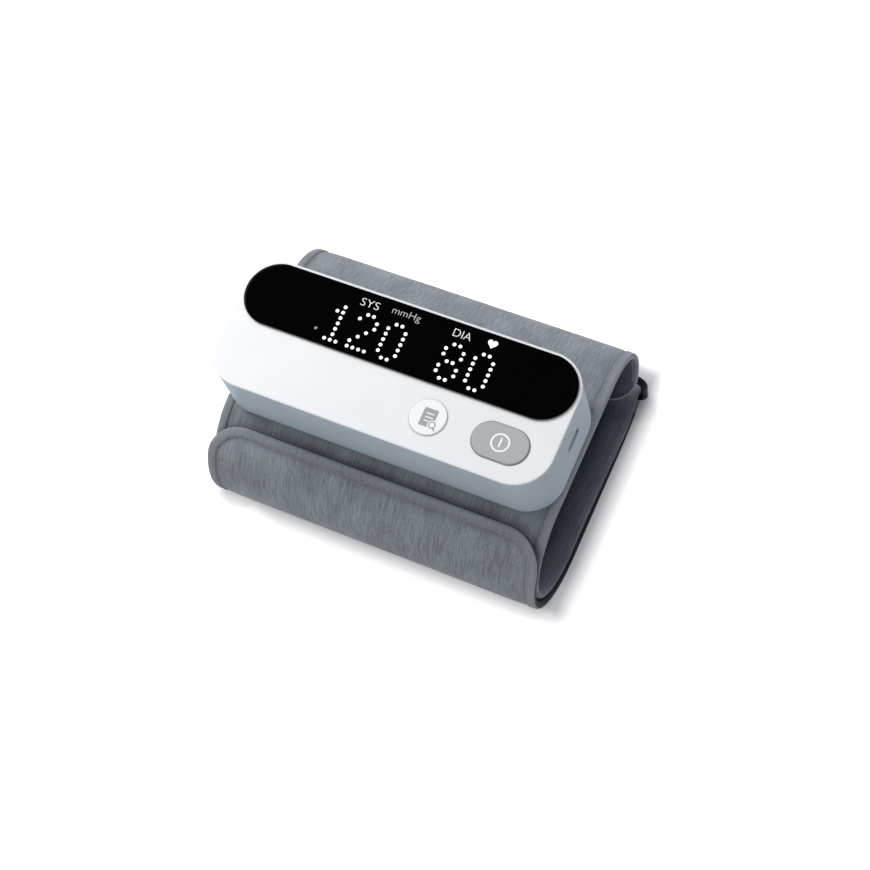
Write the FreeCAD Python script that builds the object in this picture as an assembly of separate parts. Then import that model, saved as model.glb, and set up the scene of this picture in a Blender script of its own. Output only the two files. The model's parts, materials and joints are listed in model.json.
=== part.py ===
"""Arm-in blood pressure monitor: a tubeless upper-arm cuff that carries its own measuring unit.

Millimetres. X runs along the unit (and along the arm), Y from the front flap to the back fold,
Z up from the table. The origin is the centre of the footprint, on the table.
"""
import FreeCAD, Part
import math
import os

# ---------------------------------------------------------------- driving dimensions: cuff
cuff_width = 138.0          # along the arm
cuff_depth = 106.0          # front of the flap to the back of the fold
band_t = 2.6                # laminated cuff fabric
loop_bend_r = 27.2          # outside of the loop's front bend
wrap_gap = 1.4              # room for the hook and loop patches between loop and outer wrap
back_bend_r = 22.3          # outside of the curl at the back
top_run = 50.4              # flat run of the loop under the unit
curl_below = 64.0           # degrees that the curl goes on below its furthest point back
flap_rise = 64.7            # degrees that the flap climbs above the front's furthest point
rise_turn = 25.0            # degrees that the band turns up, and back, to reach the ring
flap_corner_r = 15.0
curl_corner_r = 12.0
binding_w = 1.6             # sewn edge tape, seen edge on
tape_spare = 0.3
bladder_t = 1.0
bladder_margin = 9.0        # bladder stops this far inside the cuff's edges
bladder_turn = 120.0        # degrees that it follows the front bend
lining_t = 0.7
lining_margin = 2.2
patch_t = 0.5               # hook patch and loop patch
patch_margin = 12.0
loop_patch_up = 56.0        # degrees above the front's furthest point where the loop patch starts
loop_patch_down = 54.0      # degrees below it where it ends
hook_patch_low = 8.0        # degrees above the hinge line where the hook patch starts
hook_patch_short = 14.0     # degrees that it stops before the flap's tip
skin_gap = 0.05             # between layers that lie on each other round a bend
soft_gap = 0.3              # between layers that move apart

# ---------------------------------------------------------------- driving dimensions: D-ring
ring_wire_r = 1.5
ring_corner_r = 4.5         # middle of the wire, where it is bent
ring_play = 1.6             # band edge to ring, each side
ring_slack = 0.9            # ring bar to the fold around it
ring_loop_t = 0.7
ring_angle = 37.0           # degrees below the curl's furthest point back
ring_loop_end = 4.0         # degrees below it where the strap that holds the ring is sewn on
ring_loop_margin = 5.0

# ---------------------------------------------------------------- driving dimensions: housing
unit_length = 134.0
unit_width = 52.0
unit_corner_r = 14.2
unit_height = 30.0
unit_y = -3.6               # middle of the unit, from the middle of the footprint
base_flare = 1.5            # the base is this much longer than the face, at each end
base_tuck = 0.5             # and this much narrower, at the front and the back
base_edge_r = 2.4
wall = 2.0
floor_t = 1.8
plate_t = 2.4
face_rim_t = 0.7            # the face plate is this thick where it lies on the walls
face_edge_r = 0.4
lip_depth = 3.0
lip_t = 1.2
lip_gap = 0.15
rail_t = 1.2                # ribs that hold the battery, the pump and the display board
rail_h = 5.0
rail_gap = 0.3
battery_rail_short = 4.5    # the battery's rails are this much shorter than the pack, at each end
board_post_x = 35.8
board_post_r = 1.5
stop_width = 10.0

# display panel, in the face
lens_width = 24.4
lens_end_margin = 1.5       # panel to the face's ends
lens_back_margin = 1.2      # panel to the face's back edge
lens_proud = 0.8
lens_recess = 0.35
lens_gap = 0.15
lens_edge_r = 0.6
dot_pitch = 2.3             # between neighbouring dots of the display
digit_pitch = 5             # dots from one digit to the next
digit_columns = 4
digit_rows = 7
digit_count = 6
first_dot_x = -31.3
first_dot_drop = 10.1       # lowest row of dots to the middle of the panel
module_h = 4.0
module_gap = 0.2            # modules to the panel's underside
window_gap = 0.3
display_board_t = 1.2
display_board_ends = 4.0    # the display board goes on this far past the modules
display_board_sides = 2.0
link_length = 20.0          # the connector between the two boards
link_width = 2.5
link_inset = 0.5

# buttons
start_inset = 19.6          # middle of the start button to the face's end
button_spacing = 27.8       # from the memory button to the start button
button_inset = 13.3         # middle of both buttons to the face's front edge
start_length = 21.0
start_width = 13.4
memory_d = 13.8
button_proud = 0.6
button_travel = 0.5
button_gap = 0.2
button_edge_r = 0.5
flange_t = 1.0
flange_w = 1.0
flange_gap = 0.1            # flange to the face plate

# boards and what they carry
board_drop = 10.6           # face to the main board's upper side
board_t = 1.6
board_gap = 1.0             # main board to the walls
board_boss_gap = 0.3        # and to the screw bosses that it goes round
switch_size = 6.0
switch_h = 3.5
plunger_r = 1.6
plunger_gap = 0.2
sleeve_r = 5.7
sleeve_t = 0.8
sleeve_taper = 1.0
port_offset = 1.9           # port to the unit's middle
port_length = 9.0
port_height = 3.2
port_depth = 7.4
port_wall = 0.4
port_back = 1.0
port_gap = 0.3
port_corner_r = 1.8
blade_t = 0.7               # the contact blade in the port
blade_margin = 1.3

# air system
pump_gap = 1.7              # pump head to the cuff screws' bosses
pump_offset = 1.6           # middle of the pump to the unit's middle
pump_r = 7.0
motor_length = 18.0
motor_nub_r = 2.0
motor_nub_h = 1.5
pump_head_length = 12.0
pump_head_size = 14.4
pump_head_edge_r = 2.0
pump_pad_t = 1.0
bore_r = 0.9                # every air passage
nozzle_r = 1.5
nozzle_length = 2.2
hose_t = 0.8
manifold_length = 10.0
manifold_width = 10.0
manifold_h = 11.0
valve_x = -28.0
valve_r = 4.8
valve_length = 10.8
valve_gap = 1.5             # valve to the front screw's boss
nipple_x = -25.0
nipple_y = 4.0
nipple_r = 2.2
nipple_h = 5.0
nipple_flange_r = 3.8
nipple_flange_t = 1.2
seal_t = 1.0
sensor_size = 6.0
sensor_h = 2.2
sensor_gap = 0.2            # sensor's hose tail to the manifold

# battery
battery_length = 48.0
battery_width = 34.0
battery_h = 7.0
battery_x = 5.5
battery_y = -3.0
battery_corner_r = 3.0
battery_pad_t = 0.6
battery_pad_short = 6.0     # the pad is this much shorter than the pack, at each end
battery_pad_width = 10.0
battery_pad_r = 1.0

# screws
back_screw_inset = 10.0     # back case screws to the face's ends
back_screw_drop = 9.0       # and to its back edge
front_screw_drop = 6.0      # front case screws, which stand between the buttons, to its front edge
case_joint_drop = 16.0      # face to where upper and lower bosses meet
boss_r = 3.1
shank_r = 1.1
clear_r = 1.4
head_r = 2.2
head_h = 1.6
counterbore_r = 2.4
case_screw_length = 12.0
pilot_spare = 0.4           # a pilot hole is this much deeper than its screw
cuff_screw_x = 34.0
cuff_screw_front = 10.4     # cuff screws to the unit's middle, towards the front
cuff_screw_back = 13.6      # and towards the back
cuff_screw_length = 6.0
cuff_head_h = 1.1
cuff_boss_h = 4.4
cuff_boss_roof = 0.8
hole_gap = 0.1              # round what passes through a plate
cloth_hole_gap = 0.2        # round what passes through the cloth
cuff_plate_length = 84.0
cuff_plate_width = 36.0
cuff_plate_t = 1.4
cuff_plate_r = 6.0

past = 1.0                  # a cutter runs on this far past the face that it opens
tiny = 0.001                # keeps two arcs of an outline from meeting in a run of no length

# ---------------------------------------------------------------- derived places
wrap_r = loop_bend_r + wrap_gap
front_r = wrap_r + band_t
bend_y = front_r - cuff_depth / 2
bend_z = front_r
cuff_top = bend_z + loop_bend_r
curl_y = bend_y + top_run
curl_z = cuff_top - back_bend_r
half_width = cuff_width / 2

fold_in_r = ring_wire_r + ring_slack
fold_out_r = fold_in_r + band_t
fold_y = cuff_depth / 2 - fold_out_r
fold_z = fold_out_r

base_z = cuff_top
face_z = base_z + unit_height
split_z = face_z - plate_t
rim_z = face_z - face_rim_t
floor_z = base_z + floor_t
root_z = base_z + floor_t / 2      # bosses and ribs start inside the floor
board_z = face_z - board_drop
board_low = board_z - board_t
joint_z = face_z - case_joint_drop

unit_end = unit_length / 2
unit_front = unit_y - unit_width / 2
unit_back = unit_y + unit_width / 2
lens_length = unit_length - 2 * lens_end_margin
lens_y = unit_back - lens_back_margin - lens_width / 2
first_dot_y = lens_y - first_dot_drop
start_x = unit_end - start_inset
memory_x = start_x - button_spacing
button_y = unit_front + button_inset
port_y = unit_y + port_offset
pump_x = -(cuff_screw_x + boss_r + pump_gap + pump_head_size / 2)
case_screw_back = (unit_end - back_screw_inset, unit_back - back_screw_drop)
between_buttons = (start_x - start_length / 2 + memory_x + memory_d / 2) / 2
case_screw_front = (between_buttons, unit_front + front_screw_drop)
valve_y = case_screw_front[1] + boss_r + valve_gap

X_AXIS = FreeCAD.Vector(1, 0, 0)
Y_AXIS = FreeCAD.Vector(0, 1, 0)
Z_AXIS = FreeCAD.Vector(0, 0, 1)

PARTS = {}


def vec(x, y, z):
    return FreeCAD.Vector(x, y, z)


def keep(name, shape):
    """Registers a finished piece under its node's name."""
    if shape.ShapeType == "Compound" and len(shape.Solids) == 1:
        shape = shape.Solids[0]
    PARTS[name] = shape


# ---------------------------------------------------------------- shapes seen from above
def outline(length, width, radius, x, y, z):
    """A rounded rectangle, flat at height z."""
    a = length / 2 - radius
    b = width / 2 - radius
    k = radius * math.sqrt(0.5)
    edges = []
    for quarter, (sx, sy) in enumerate([(1, 1), (-1, 1), (-1, -1), (1, -1)]):
        centre = vec(x + sx * a, y + sy * b, z)
        first = vec(radius * sx, 0, 0) if quarter % 2 == 0 else vec(0, radius * sy, 0)
        last = vec(0, radius * sy, 0) if quarter % 2 == 0 else vec(radius * sx, 0, 0)
        middle = vec(k * sx, k * sy, 0)
        edges.append(Part.Arc(centre + first, centre + middle, centre + last).toShape())
    joined = []
    for i, edge in enumerate(edges):
        following = edges[(i + 1) % 4]
        start = edge.valueAt(edge.LastParameter)
        end = following.valueAt(following.FirstParameter)
        joined.append(edge)
        if start.distanceToPoint(end) > tiny:
            joined.append(Part.makeLine(start, end))
    return Part.Wire(joined)


def slab(length, width, radius, x, y, z0, z1):
    """A rounded rectangular plate between two heights."""
    return Part.Face(outline(length, width, radius, x, y, z0)).extrude(vec(0, 0, z1 - z0))


def box(x0, x1, y0, y1, z0, z1):
    return Part.makeBox(x1 - x0, y1 - y0, z1 - z0, vec(x0, y0, z0))


def post(radius, x, y, z0, z1):
    return Part.makeCylinder(radius, z1 - z0, vec(x, y, z0), Z_AXIS)


def pipe(outer, inner, start, direction, length):
    """A straight tube."""
    solid = Part.makeCylinder(outer, length, start, direction)
    return solid.cut(Part.makeCylinder(inner, length, start, direction))


# ---------------------------------------------------------------- fabric strips, drawn in the YZ plane
def walk(start, heading, moves, offset):
    """Edges that run beside a route of straight runs and arcs, offset to its left."""
    y, z = start
    edges = []
    for move in moves:
        a = math.radians(heading)
        if move[0] == "line":
            y1 = y + move[1] * math.cos(a)
            z1 = z + move[1] * math.sin(a)
            dy = -offset * math.sin(a)
            dz = offset * math.cos(a)
            edges.append(Part.makeLine(vec(0, y + dy, z + dz), vec(0, y1 + dy, z1 + dz)))
            y, z = y1, z1
            continue
        radius, turn = move[1], move[2]
        side = 1 if turn > 0 else -1
        cy = y - side * radius * math.sin(a)
        cz = z + side * radius * math.cos(a)
        points = []
        for share in (0.0, 0.5, 1.0):
            b = math.radians(heading + turn * share)
            r = side * radius - offset
            points.append(vec(0, cy + r * math.sin(b), cz - r * math.cos(b)))
        edges.append(Part.Arc(*points).toShape())
        heading = heading + turn
        b = math.radians(heading)
        y = cy + side * radius * math.sin(b)
        z = cz - side * radius * math.cos(b)
    return edges


def strip(start, heading, moves, near, far, half):
    """A strip of fabric along a route, between two offsets to its left, centred on X."""
    one = walk(start, heading, moves, near)
    two = walk(start, heading, moves, far)
    cap_a = Part.makeLine(two[0].valueAt(two[0].FirstParameter), one[0].valueAt(one[0].FirstParameter))
    cap_b = Part.makeLine(one[-1].valueAt(one[-1].LastParameter), two[-1].valueAt(two[-1].LastParameter))
    wire = Part.Wire([cap_a] + one + [cap_b] + two[::-1])
    solid = Part.Face(wire).extrude(vec(2 * half, 0, 0))
    solid.translate(vec(-half, 0, 0))
    return solid


def round_end(solid, tip, out, half, radius, low, high):
    """Rounds the two corners of a strip's end, between two depths through the strip.

    out points out of the end, along the strip. Depths are counted away from the bend's centre.
    """
    through = X_AXIS.cross(out)
    for side in (-1, 1):
        corner = tip + X_AXIS * (side * (half - radius)) - out * radius + through * low
        a = corner + X_AXIS * (side * (radius + past))
        b = a + out * (radius + past)
        c = corner + out * (radius + past)
        block = Part.Face(Part.makePolygon([corner, a, b, c, corner])).extrude(through * (high - low))
        rod = Part.makeCylinder(radius, high - low, corner, through)
        solid = solid.cut(block.cut(rod))
    return solid


def on_curl(degrees, radius):
    """A point on the curl, by its angle above the furthest point back."""
    a = math.radians(degrees)
    return curl_y + radius * math.cos(a), curl_z + radius * math.sin(a)


def on_front(degrees, radius):
    """A point on the front bend, by its angle above the furthest point forward."""
    a = math.radians(degrees)
    return bend_y - radius * math.cos(a), bend_z + radius * math.sin(a)


# ---------------------------------------------------------------- cuff
rise = fold_z + fold_in_r - (front_r - loop_bend_r)
rise_r = rise / (2 * (1 - math.cos(math.radians(rise_turn))))
rise_run = 2 * rise_r * math.sin(math.radians(rise_turn))
bottom_run = fold_y - rise_run - bend_y

loop_moves = [("line", top_run), ("arc", loop_bend_r, 180.0)]
under_moves = [("line", bottom_run), ("arc", rise_r, rise_turn), ("arc", rise_r, -rise_turn)]
fold_moves = [("arc", fold_in_r, -180.0), ("line", fold_y - bend_y), ("arc", wrap_r, -90.0)]


def band_solid(inset, spare):
    """The long fabric band, its edges drawn in by inset and its faces moved out by spare."""
    trim = math.degrees(inset / back_bend_r)
    start = on_curl(trim - curl_below, back_bend_r)
    curl = [("arc", back_bend_r, 90.0 + curl_below - trim)]
    past_end = [("line", spare)] if spare > 0 else []
    moves = curl + loop_moves + under_moves + fold_moves + past_end
    solid = strip(start, 90.0 + trim - curl_below, moves, -spare, band_t + spare, half_width - inset)
    a = math.radians(trim - curl_below)
    out = vec(0, math.sin(a), -math.cos(a))
    sag = curl_corner_r ** 2 / (2 * (back_bend_r - band_t))
    return round_end(solid, vec(0, *start), out, half_width - inset, curl_corner_r - inset,
                     -band_t - sag - past, past)


def flap_solid(inset, spare):
    """The flap that closes the cuff, its free edges drawn in by inset and its faces moved out by spare."""
    trim = math.degrees(inset / wrap_r)
    first = math.degrees((soft_gap - spare) / wrap_r)
    start = on_front(first, wrap_r)
    moves = [("arc", wrap_r, first + trim - flap_rise)]
    solid = strip(start, 90.0 - first, moves, -spare, band_t + spare, half_width - inset)
    tip = on_front(flap_rise - trim, wrap_r)
    a = math.radians(flap_rise - trim)
    out = vec(0, math.sin(a), math.cos(a))
    sag = flap_corner_r ** 2 / (2 * wrap_r)
    return round_end(solid, vec(0, *tip), out, half_width - inset, flap_corner_r - inset,
                     -sag - past, band_t + past)


def make_band():
    whole = band_solid(0.0, 0.0)
    core = band_solid(binding_w, tape_spare)
    keep("edge_binding", whole.cut(core))
    fabric = whole.common(core)
    low = cuff_top - band_t
    fabric = fabric.cut(slab(cuff_plate_length, cuff_plate_width, cuff_plate_r, 0, unit_y, low - past,
                             low + cuff_plate_t))
    for x, y in cuff_screw_places():
        fabric = fabric.cut(post(shank_r + hole_gap, x, y, low, cuff_top + past))
    fabric = fabric.cut(post(nipple_r + cloth_hole_gap, nipple_x, nipple_y, low, cuff_top + past))
    keep("cuff_band", fabric)


def make_flap():
    whole = flap_solid(0.0, 0.0)
    core = flap_solid(binding_w, tape_spare)
    keep("flap_binding", whole.cut(core))
    keep("outer_flap", whole.common(core))


def inner_strip(margin, moves, near, thickness):
    """A layer on the arm's side of the loop, its edges drawn in by margin."""
    trim = math.degrees(margin / back_bend_r)
    start = on_curl(trim - curl_below, back_bend_r)
    curl = [("arc", back_bend_r, 90.0 + curl_below - trim)]
    far = near + thickness
    solid = strip(start, 90.0 + trim - curl_below, curl + moves, near, far, half_width - margin)
    a = math.radians(trim - curl_below)
    out = vec(0, math.sin(a), -math.cos(a))
    corner_r = curl_corner_r - margin
    sag = corner_r ** 2 / (2 * (back_bend_r - far))
    tip = vec(0, *on_curl(trim - curl_below, back_bend_r))
    return round_end(solid, tip, out, half_width - margin, corner_r, -far - sag - past, past)


def make_inner_layers():
    near = band_t + skin_gap
    bladder = inner_strip(bladder_margin, [("line", top_run), ("arc", loop_bend_r, bladder_turn)], near,
                          bladder_t)
    bladder = bladder.cut(post(bore_r, nipple_x, nipple_y, cuff_top - back_bend_r, cuff_top))
    keep("air_bladder", bladder)
    near = near + bladder_t + skin_gap
    keep("cuff_lining", inner_strip(lining_margin, loop_moves, near, lining_t))


def patch_on_loop():
    """Soft loop patch on the outside of the front bend."""
    start = on_front(loop_patch_up, loop_bend_r)
    return strip(start, 270.0 - loop_patch_up, [("arc", loop_bend_r, loop_patch_up + loop_patch_down)],
                 -patch_t - skin_gap, -skin_gap, half_width - patch_margin)


def patch_on_flap():
    """Hook patch on the inside of the flap."""
    start = on_front(hook_patch_low, wrap_r)
    moves = [("arc", wrap_r, hook_patch_low + hook_patch_short - flap_rise)]
    return strip(start, 90.0 - hook_patch_low, moves, -patch_t - skin_gap, -skin_gap,
                 half_width - patch_margin)


def ring_bars():
    """Middles of the ring's upper bar, which the strap holds, and of its lower one, in the band's fold."""
    upper = on_curl(-ring_angle, back_bend_r + soft_gap + ring_loop_t + soft_gap + ring_wire_r)
    return vec(0, *upper), vec(0, fold_y, fold_z)


def make_ring():
    """Round wire, bent to a rectangle: two long bars, two short ones and four bends."""
    upper, lower = ring_bars()
    down = (lower - upper).normalize()
    half = half_width + ring_play + ring_wire_r
    straight = half - ring_corner_r
    pieces = []
    for end, way in ((upper, down), (lower, down * -1)):
        pieces.append(Part.makeCylinder(ring_wire_r, 2 * straight, end - X_AXIS * straight, X_AXIS))
        for across in (X_AXIS, X_AXIS * -1):
            start = end + across * straight
            section = Part.Face(Part.Wire(Part.makeCircle(ring_wire_r, start, across)))
            pieces.append(section.revolve(start + way * ring_corner_r, across.cross(way), 90))
    for across in (X_AXIS, X_AXIS * -1):
        start = upper + across * half + down * ring_corner_r
        length = upper.distanceToPoint(lower) - 2 * ring_corner_r
        pieces.append(Part.makeCylinder(ring_wire_r, length, start, down))
    keep("d_ring", pieces[0].multiFuse(pieces[1:]).removeSplitter())


def make_ring_strap():
    """The doubled strap that is sewn to the curl and goes round the ring's upper bar."""
    bar = ring_bars()[0]
    half = half_width - ring_loop_margin
    moves = [("arc", back_bend_r, ring_angle - ring_loop_end)]
    tab = strip(on_curl(-ring_angle, back_bend_r), 90.0 - ring_angle, moves,
                -2 * ring_loop_t - skin_gap, -skin_gap, half)
    hole_r = ring_wire_r + soft_gap
    start = bar - X_AXIS * half
    strap = tab.fuse(Part.makeCylinder(hole_r + ring_loop_t, 2 * half, start, X_AXIS))
    curl = Part.makeCylinder(back_bend_r + skin_gap, 2 * half, vec(-half, curl_y, curl_z), X_AXIS)
    strap = strap.cut(curl).cut(Part.makeCylinder(hole_r, 2 * half, start, X_AXIS))
    keep("ring_loop", strap.removeSplitter())


# ---------------------------------------------------------------- housing
def case_screw_places():
    return [(sx * x, y) for x, y in (case_screw_back, case_screw_front) for sx in (-1, 1)]


def cuff_screw_places():
    rows = (unit_y - cuff_screw_front, unit_y + cuff_screw_back)
    return [(sx * cuff_screw_x, y) for y in rows for sx in (-1, 1)]


def tray(inset, low_z):
    """The housing's form, drawn in all round. To the base its end walls lean out, and its long walls in."""
    length = unit_length - 2 * inset
    width = unit_width - 2 * inset
    radius = unit_corner_r - inset
    base = outline(length + 2 * base_flare, width - 2 * base_tuck, radius, 0, unit_y, low_z)
    rim = outline(length, width, radius, 0, unit_y, rim_z)
    return Part.makeLoft([base, rim], True, True)


def shell_walls():
    """The open tray of the housing, round at its foot."""
    outer = tray(0.0, base_z)
    low = [e for e in outer.Edges if abs(e.BoundBox.ZMax - base_z) < tiny]
    return outer.makeFillet(base_edge_r, low).cut(tray(wall, floor_z))


def rib_pair(x, y, side, length, along_x):
    """Two ribs on the floor, either side of what they hold."""
    ribs = []
    for near in (side, -side - rail_t):
        x0, x1 = (-length, length) if along_x else (near, near + rail_t)
        y0, y1 = (near, near + rail_t) if along_x else (-length, length)
        ribs.append(box(x + x0, x + x1, y + y0, y + y1, root_z, floor_z + rail_h))
    return ribs


def shell_ribs():
    """Ribs on the floor: two beside the battery, two beside the motor, and four posts under the board."""
    ribs = rib_pair(battery_x, battery_y, battery_width / 2 + rail_gap,
                    battery_length / 2 - battery_rail_short, True)
    motor_y = pump_ends()[0] + motor_length / 2
    ribs += rib_pair(pump_x, motor_y, pump_head_size / 2 + rail_gap, motor_length / 2, False)
    for x in (-board_post_x, board_post_x):
        for y in (unit_y - cuff_screw_front, unit_y + cuff_screw_back):
            ribs.append(post(board_post_r, x, y, floor_z + cuff_boss_h - cuff_boss_roof, board_low))
    return ribs


def port_cutter():
    """The slot in the right end wall that the plug goes through."""
    slot = slab(port_length + 2 * port_gap, port_height + 2 * port_gap, port_corner_r, 0, 0, 0,
                wall + base_flare + 2 * past)
    slot.rotate(vec(0, 0, 0), X_AXIS, 90)
    slot.rotate(vec(0, 0, 0), Z_AXIS, 90)
    slot.translate(vec(unit_end - wall - past, port_y, board_low - port_height / 2))
    return slot


def make_lower_shell():
    shell = shell_walls()
    bosses = [post(boss_r, x, y, root_z, joint_z) for x, y in case_screw_places()]
    bosses += [post(boss_r, x, y, root_z, floor_z + cuff_boss_h) for x, y in cuff_screw_places()]
    shell = shell.multiFuse(bosses + shell_ribs())
    seat_z = joint_z - wall
    holes = [port_cutter(), post(nipple_r + hole_gap, nipple_x, nipple_y, base_z - past, floor_z + past)]
    for x, y in case_screw_places():
        holes.append(post(counterbore_r, x, y, base_z - past, seat_z).fuse(post(clear_r, x, y, seat_z,
                                                                                joint_z + past)))
    for x, y in cuff_screw_places():
        holes.append(post(shank_r, x, y, base_z - past, floor_z + cuff_boss_h - cuff_boss_roof))
    keep("lower_shell", shell.cut(holes))


def shell_lip():
    """The thick middle of the face plate, with the lip under it that centres it in the lower shell."""
    inset = wall + lip_gap
    outer = slab(unit_length - 2 * inset, unit_width - 2 * inset, unit_corner_r - inset, 0, unit_y,
                 split_z - lip_depth, rim_z)
    inset = inset + lip_t
    return outer.cut(slab(unit_length - 2 * inset, unit_width - 2 * inset, unit_corner_r - inset, 0, unit_y,
                          split_z - lip_depth - past, split_z))


def display_stops():
    """Two ribs under the face plate that the display board fits between."""
    x0, x1, y0, y1 = display_window()
    y = (y0 + y1) / 2
    low = module_low() - display_board_t
    stops = []
    for near, far in ((x0 - display_board_ends - rail_gap - rail_t, x0 - display_board_ends - rail_gap),
                      (x1 + display_board_ends + rail_gap, x1 + display_board_ends + rail_gap + rail_t)):
        stops.append(box(near, far, y - stop_width / 2, y + stop_width / 2, low, split_z))
    return stops


def make_top_shell():
    plate = slab(unit_length, unit_width, unit_corner_r, 0, unit_y, rim_z, face_z)
    top = [e for e in plate.Edges if abs(e.BoundBox.ZMin - face_z) < tiny]
    plate = plate.makeFillet(face_edge_r, top)
    bosses = [post(boss_r, x, y, joint_z, split_z) for x, y in case_screw_places()]
    shell = plate.multiFuse([shell_lip()] + bosses + display_stops())
    pilot_top = joint_z - wall + case_screw_length + pilot_spare
    for x, y in case_screw_places():
        shell = shell.cut(post(shank_r, x, y, joint_z - past, pilot_top))
    seat = slab(lens_length + 2 * lens_gap, lens_width + 2 * lens_gap, lens_width / 2 + lens_gap, 0, lens_y,
                face_z - lens_recess, face_z + past)
    shell = shell.cut(seat)
    x0, x1, y0, y1 = display_window()
    shell = shell.cut(box(x0 - window_gap, x1 + window_gap, y0 - window_gap, y1 + window_gap,
                          split_z - past, face_z))
    shell = shell.cut(slab(start_length + 2 * button_gap, start_width + 2 * button_gap,
                           start_width / 2 + button_gap, start_x, button_y, split_z - past, face_z + past))
    shell = shell.cut(post(memory_d / 2 + button_gap, memory_x, button_y, split_z - past, face_z + past))
    keep("top_shell", shell)


def display_window():
    """Lowest and highest x and y of the six LED modules."""
    x0 = first_dot_x - dot_pitch / 2
    x1 = x0 + (digit_pitch * (digit_count - 1) + digit_columns) * dot_pitch
    y0 = first_dot_y - dot_pitch / 2
    y1 = y0 + digit_rows * dot_pitch
    return x0, x1, y0, y1


def module_low():
    """Height of the LED modules' undersides."""
    return face_z - lens_recess - module_gap - module_h


def make_display():
    lens = slab(lens_length, lens_width, lens_width / 2 - tiny, 0, lens_y, face_z - lens_recess,
                face_z + lens_proud)
    top = [e for e in lens.Edges if abs(e.BoundBox.ZMin - face_z - lens_proud) < tiny]
    keep("display_lens", lens.makeFillet(lens_edge_r, top))

    x0, x1, y0, y1 = display_window()
    low = module_low()
    modules = []
    for i in range(digit_count):
        x = x0 + i * digit_pitch * dot_pitch
        modules.append(box(x, x + digit_columns * dot_pitch, y0, y1, low, low + module_h))
    keep("led_modules", Part.makeCompound(modules))
    keep("display_board", box(x0 - display_board_ends, x1 + display_board_ends, y0 - display_board_sides,
                              y1 + display_board_sides, low - display_board_t, low))
    back = y1 - link_inset
    keep("board_link", box(-link_length / 2, link_length / 2, back - link_width, back, board_z,
                           low - display_board_t))


def make_boards():
    inset = wall + board_gap
    board = slab(unit_length - 2 * inset, unit_width - 2 * inset, unit_corner_r - inset, 0, unit_y,
                 board_low, board_z)
    for x, y in case_screw_places():
        board = board.cut(post(boss_r + board_boss_gap, x, y, board_low - past, board_z + past))
    keep("main_board", board)
    half = switch_size / 2
    plunger_top = split_z - flange_gap - flange_t - button_travel - plunger_gap
    for name, x in (("start_switch", start_x), ("memory_switch", memory_x)):
        body = box(x - half, x + half, button_y - half, button_y + half, board_z, board_z + switch_h)
        keep(name, body.fuse(post(plunger_r, x, button_y, board_z + switch_h, plunger_top)))


def make_socket():
    """The port's metal shell, open to the right, with its contact blade."""
    right = unit_end - wall
    left = right - port_depth
    half = port_length / 2
    low = board_low - port_height
    shell = box(left, right, port_y - half, port_y + half, low, board_low)
    inner = half - port_wall
    mouth = box(left + port_back, right + past, port_y - inner, port_y + inner, low + port_wall,
                board_low - port_wall)
    middle = low + port_height / 2
    inner = half - blade_margin
    blade = box(left + port_back, right - port_back, port_y - inner, port_y + inner, middle - blade_t / 2,
                middle + blade_t / 2)
    keep("usb_socket", shell.cut(mouth).fuse(blade))


def make_button(name, cap, flange):
    """A cap that shows in the face, with a flange that holds it under the plate."""
    top = [e for e in cap.Edges if abs(e.BoundBox.ZMin - face_z - button_proud) < tiny]
    keep(name, cap.makeFillet(button_edge_r, top).fuse(flange).removeSplitter())


def make_buttons():
    low = split_z - flange_gap
    high = face_z + button_proud
    cap = slab(start_length, start_width, start_width / 2 - tiny, start_x, button_y, low, high)
    flange = slab(start_length + 2 * flange_w, start_width + 2 * flange_w, start_width / 2 + flange_w - tiny,
                  start_x, button_y, low - flange_t, low)
    make_button("start_button", cap, flange)
    cap = post(memory_d / 2, memory_x, button_y, low, high)
    flange = post(memory_d / 2 + flange_w, memory_x, button_y, low - flange_t, low)
    make_button("memory_button", cap, flange)


def make_sleeves():
    """The silicone sleeves that push the buttons back."""
    height = split_z - flange_gap - flange_t - board_z
    inner = sleeve_r - sleeve_t
    for name, x in (("start_sleeve", start_x), ("memory_sleeve", memory_x)):
        foot = vec(x, button_y, board_z)
        cone = Part.makeCone(sleeve_r, sleeve_r - sleeve_taper, height, foot)
        keep(name, cone.cut(Part.makeCone(inner, inner - sleeve_taper, height, foot)))


# ---------------------------------------------------------------- air system and battery
def pump_ends():
    """Front end of the motor and back end of the pump's head."""
    middle = unit_y - pump_offset
    half = (motor_length + pump_head_length) / 2
    return middle - half, middle + half


def make_pump():
    z = floor_z + pump_pad_t + pump_head_size / 2
    half = pump_head_size / 2
    front, back = pump_ends()
    joint = front + motor_length
    motor = Part.makeCylinder(pump_r, motor_length, vec(pump_x, front, z), Y_AXIS)
    nub = Part.makeCylinder(motor_nub_r, motor_nub_h, vec(pump_x, front - motor_nub_h, z), Y_AXIS)
    keep("pump_motor", motor.fuse(nub))
    head = box(pump_x - half, pump_x + half, joint, back, z - half, z + half)
    long_edges = [e for e in head.Edges if abs(e.tangentAt(e.FirstParameter).y) > 0.9]
    head = head.makeFillet(pump_head_edge_r, long_edges)
    outlet = vec(pump_x + half, nipple_y, z)
    keep("pump_head", head.fuse(nozzle(outlet, X_AXIS)))
    keep("pump_pad", box(pump_x - half, pump_x + half, front, back, floor_z, floor_z + pump_pad_t))
    return outlet


def nozzle(start, direction):
    """A small hose tail with its bore."""
    return pipe(nozzle_r, bore_r, start, direction, nozzle_length)


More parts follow.
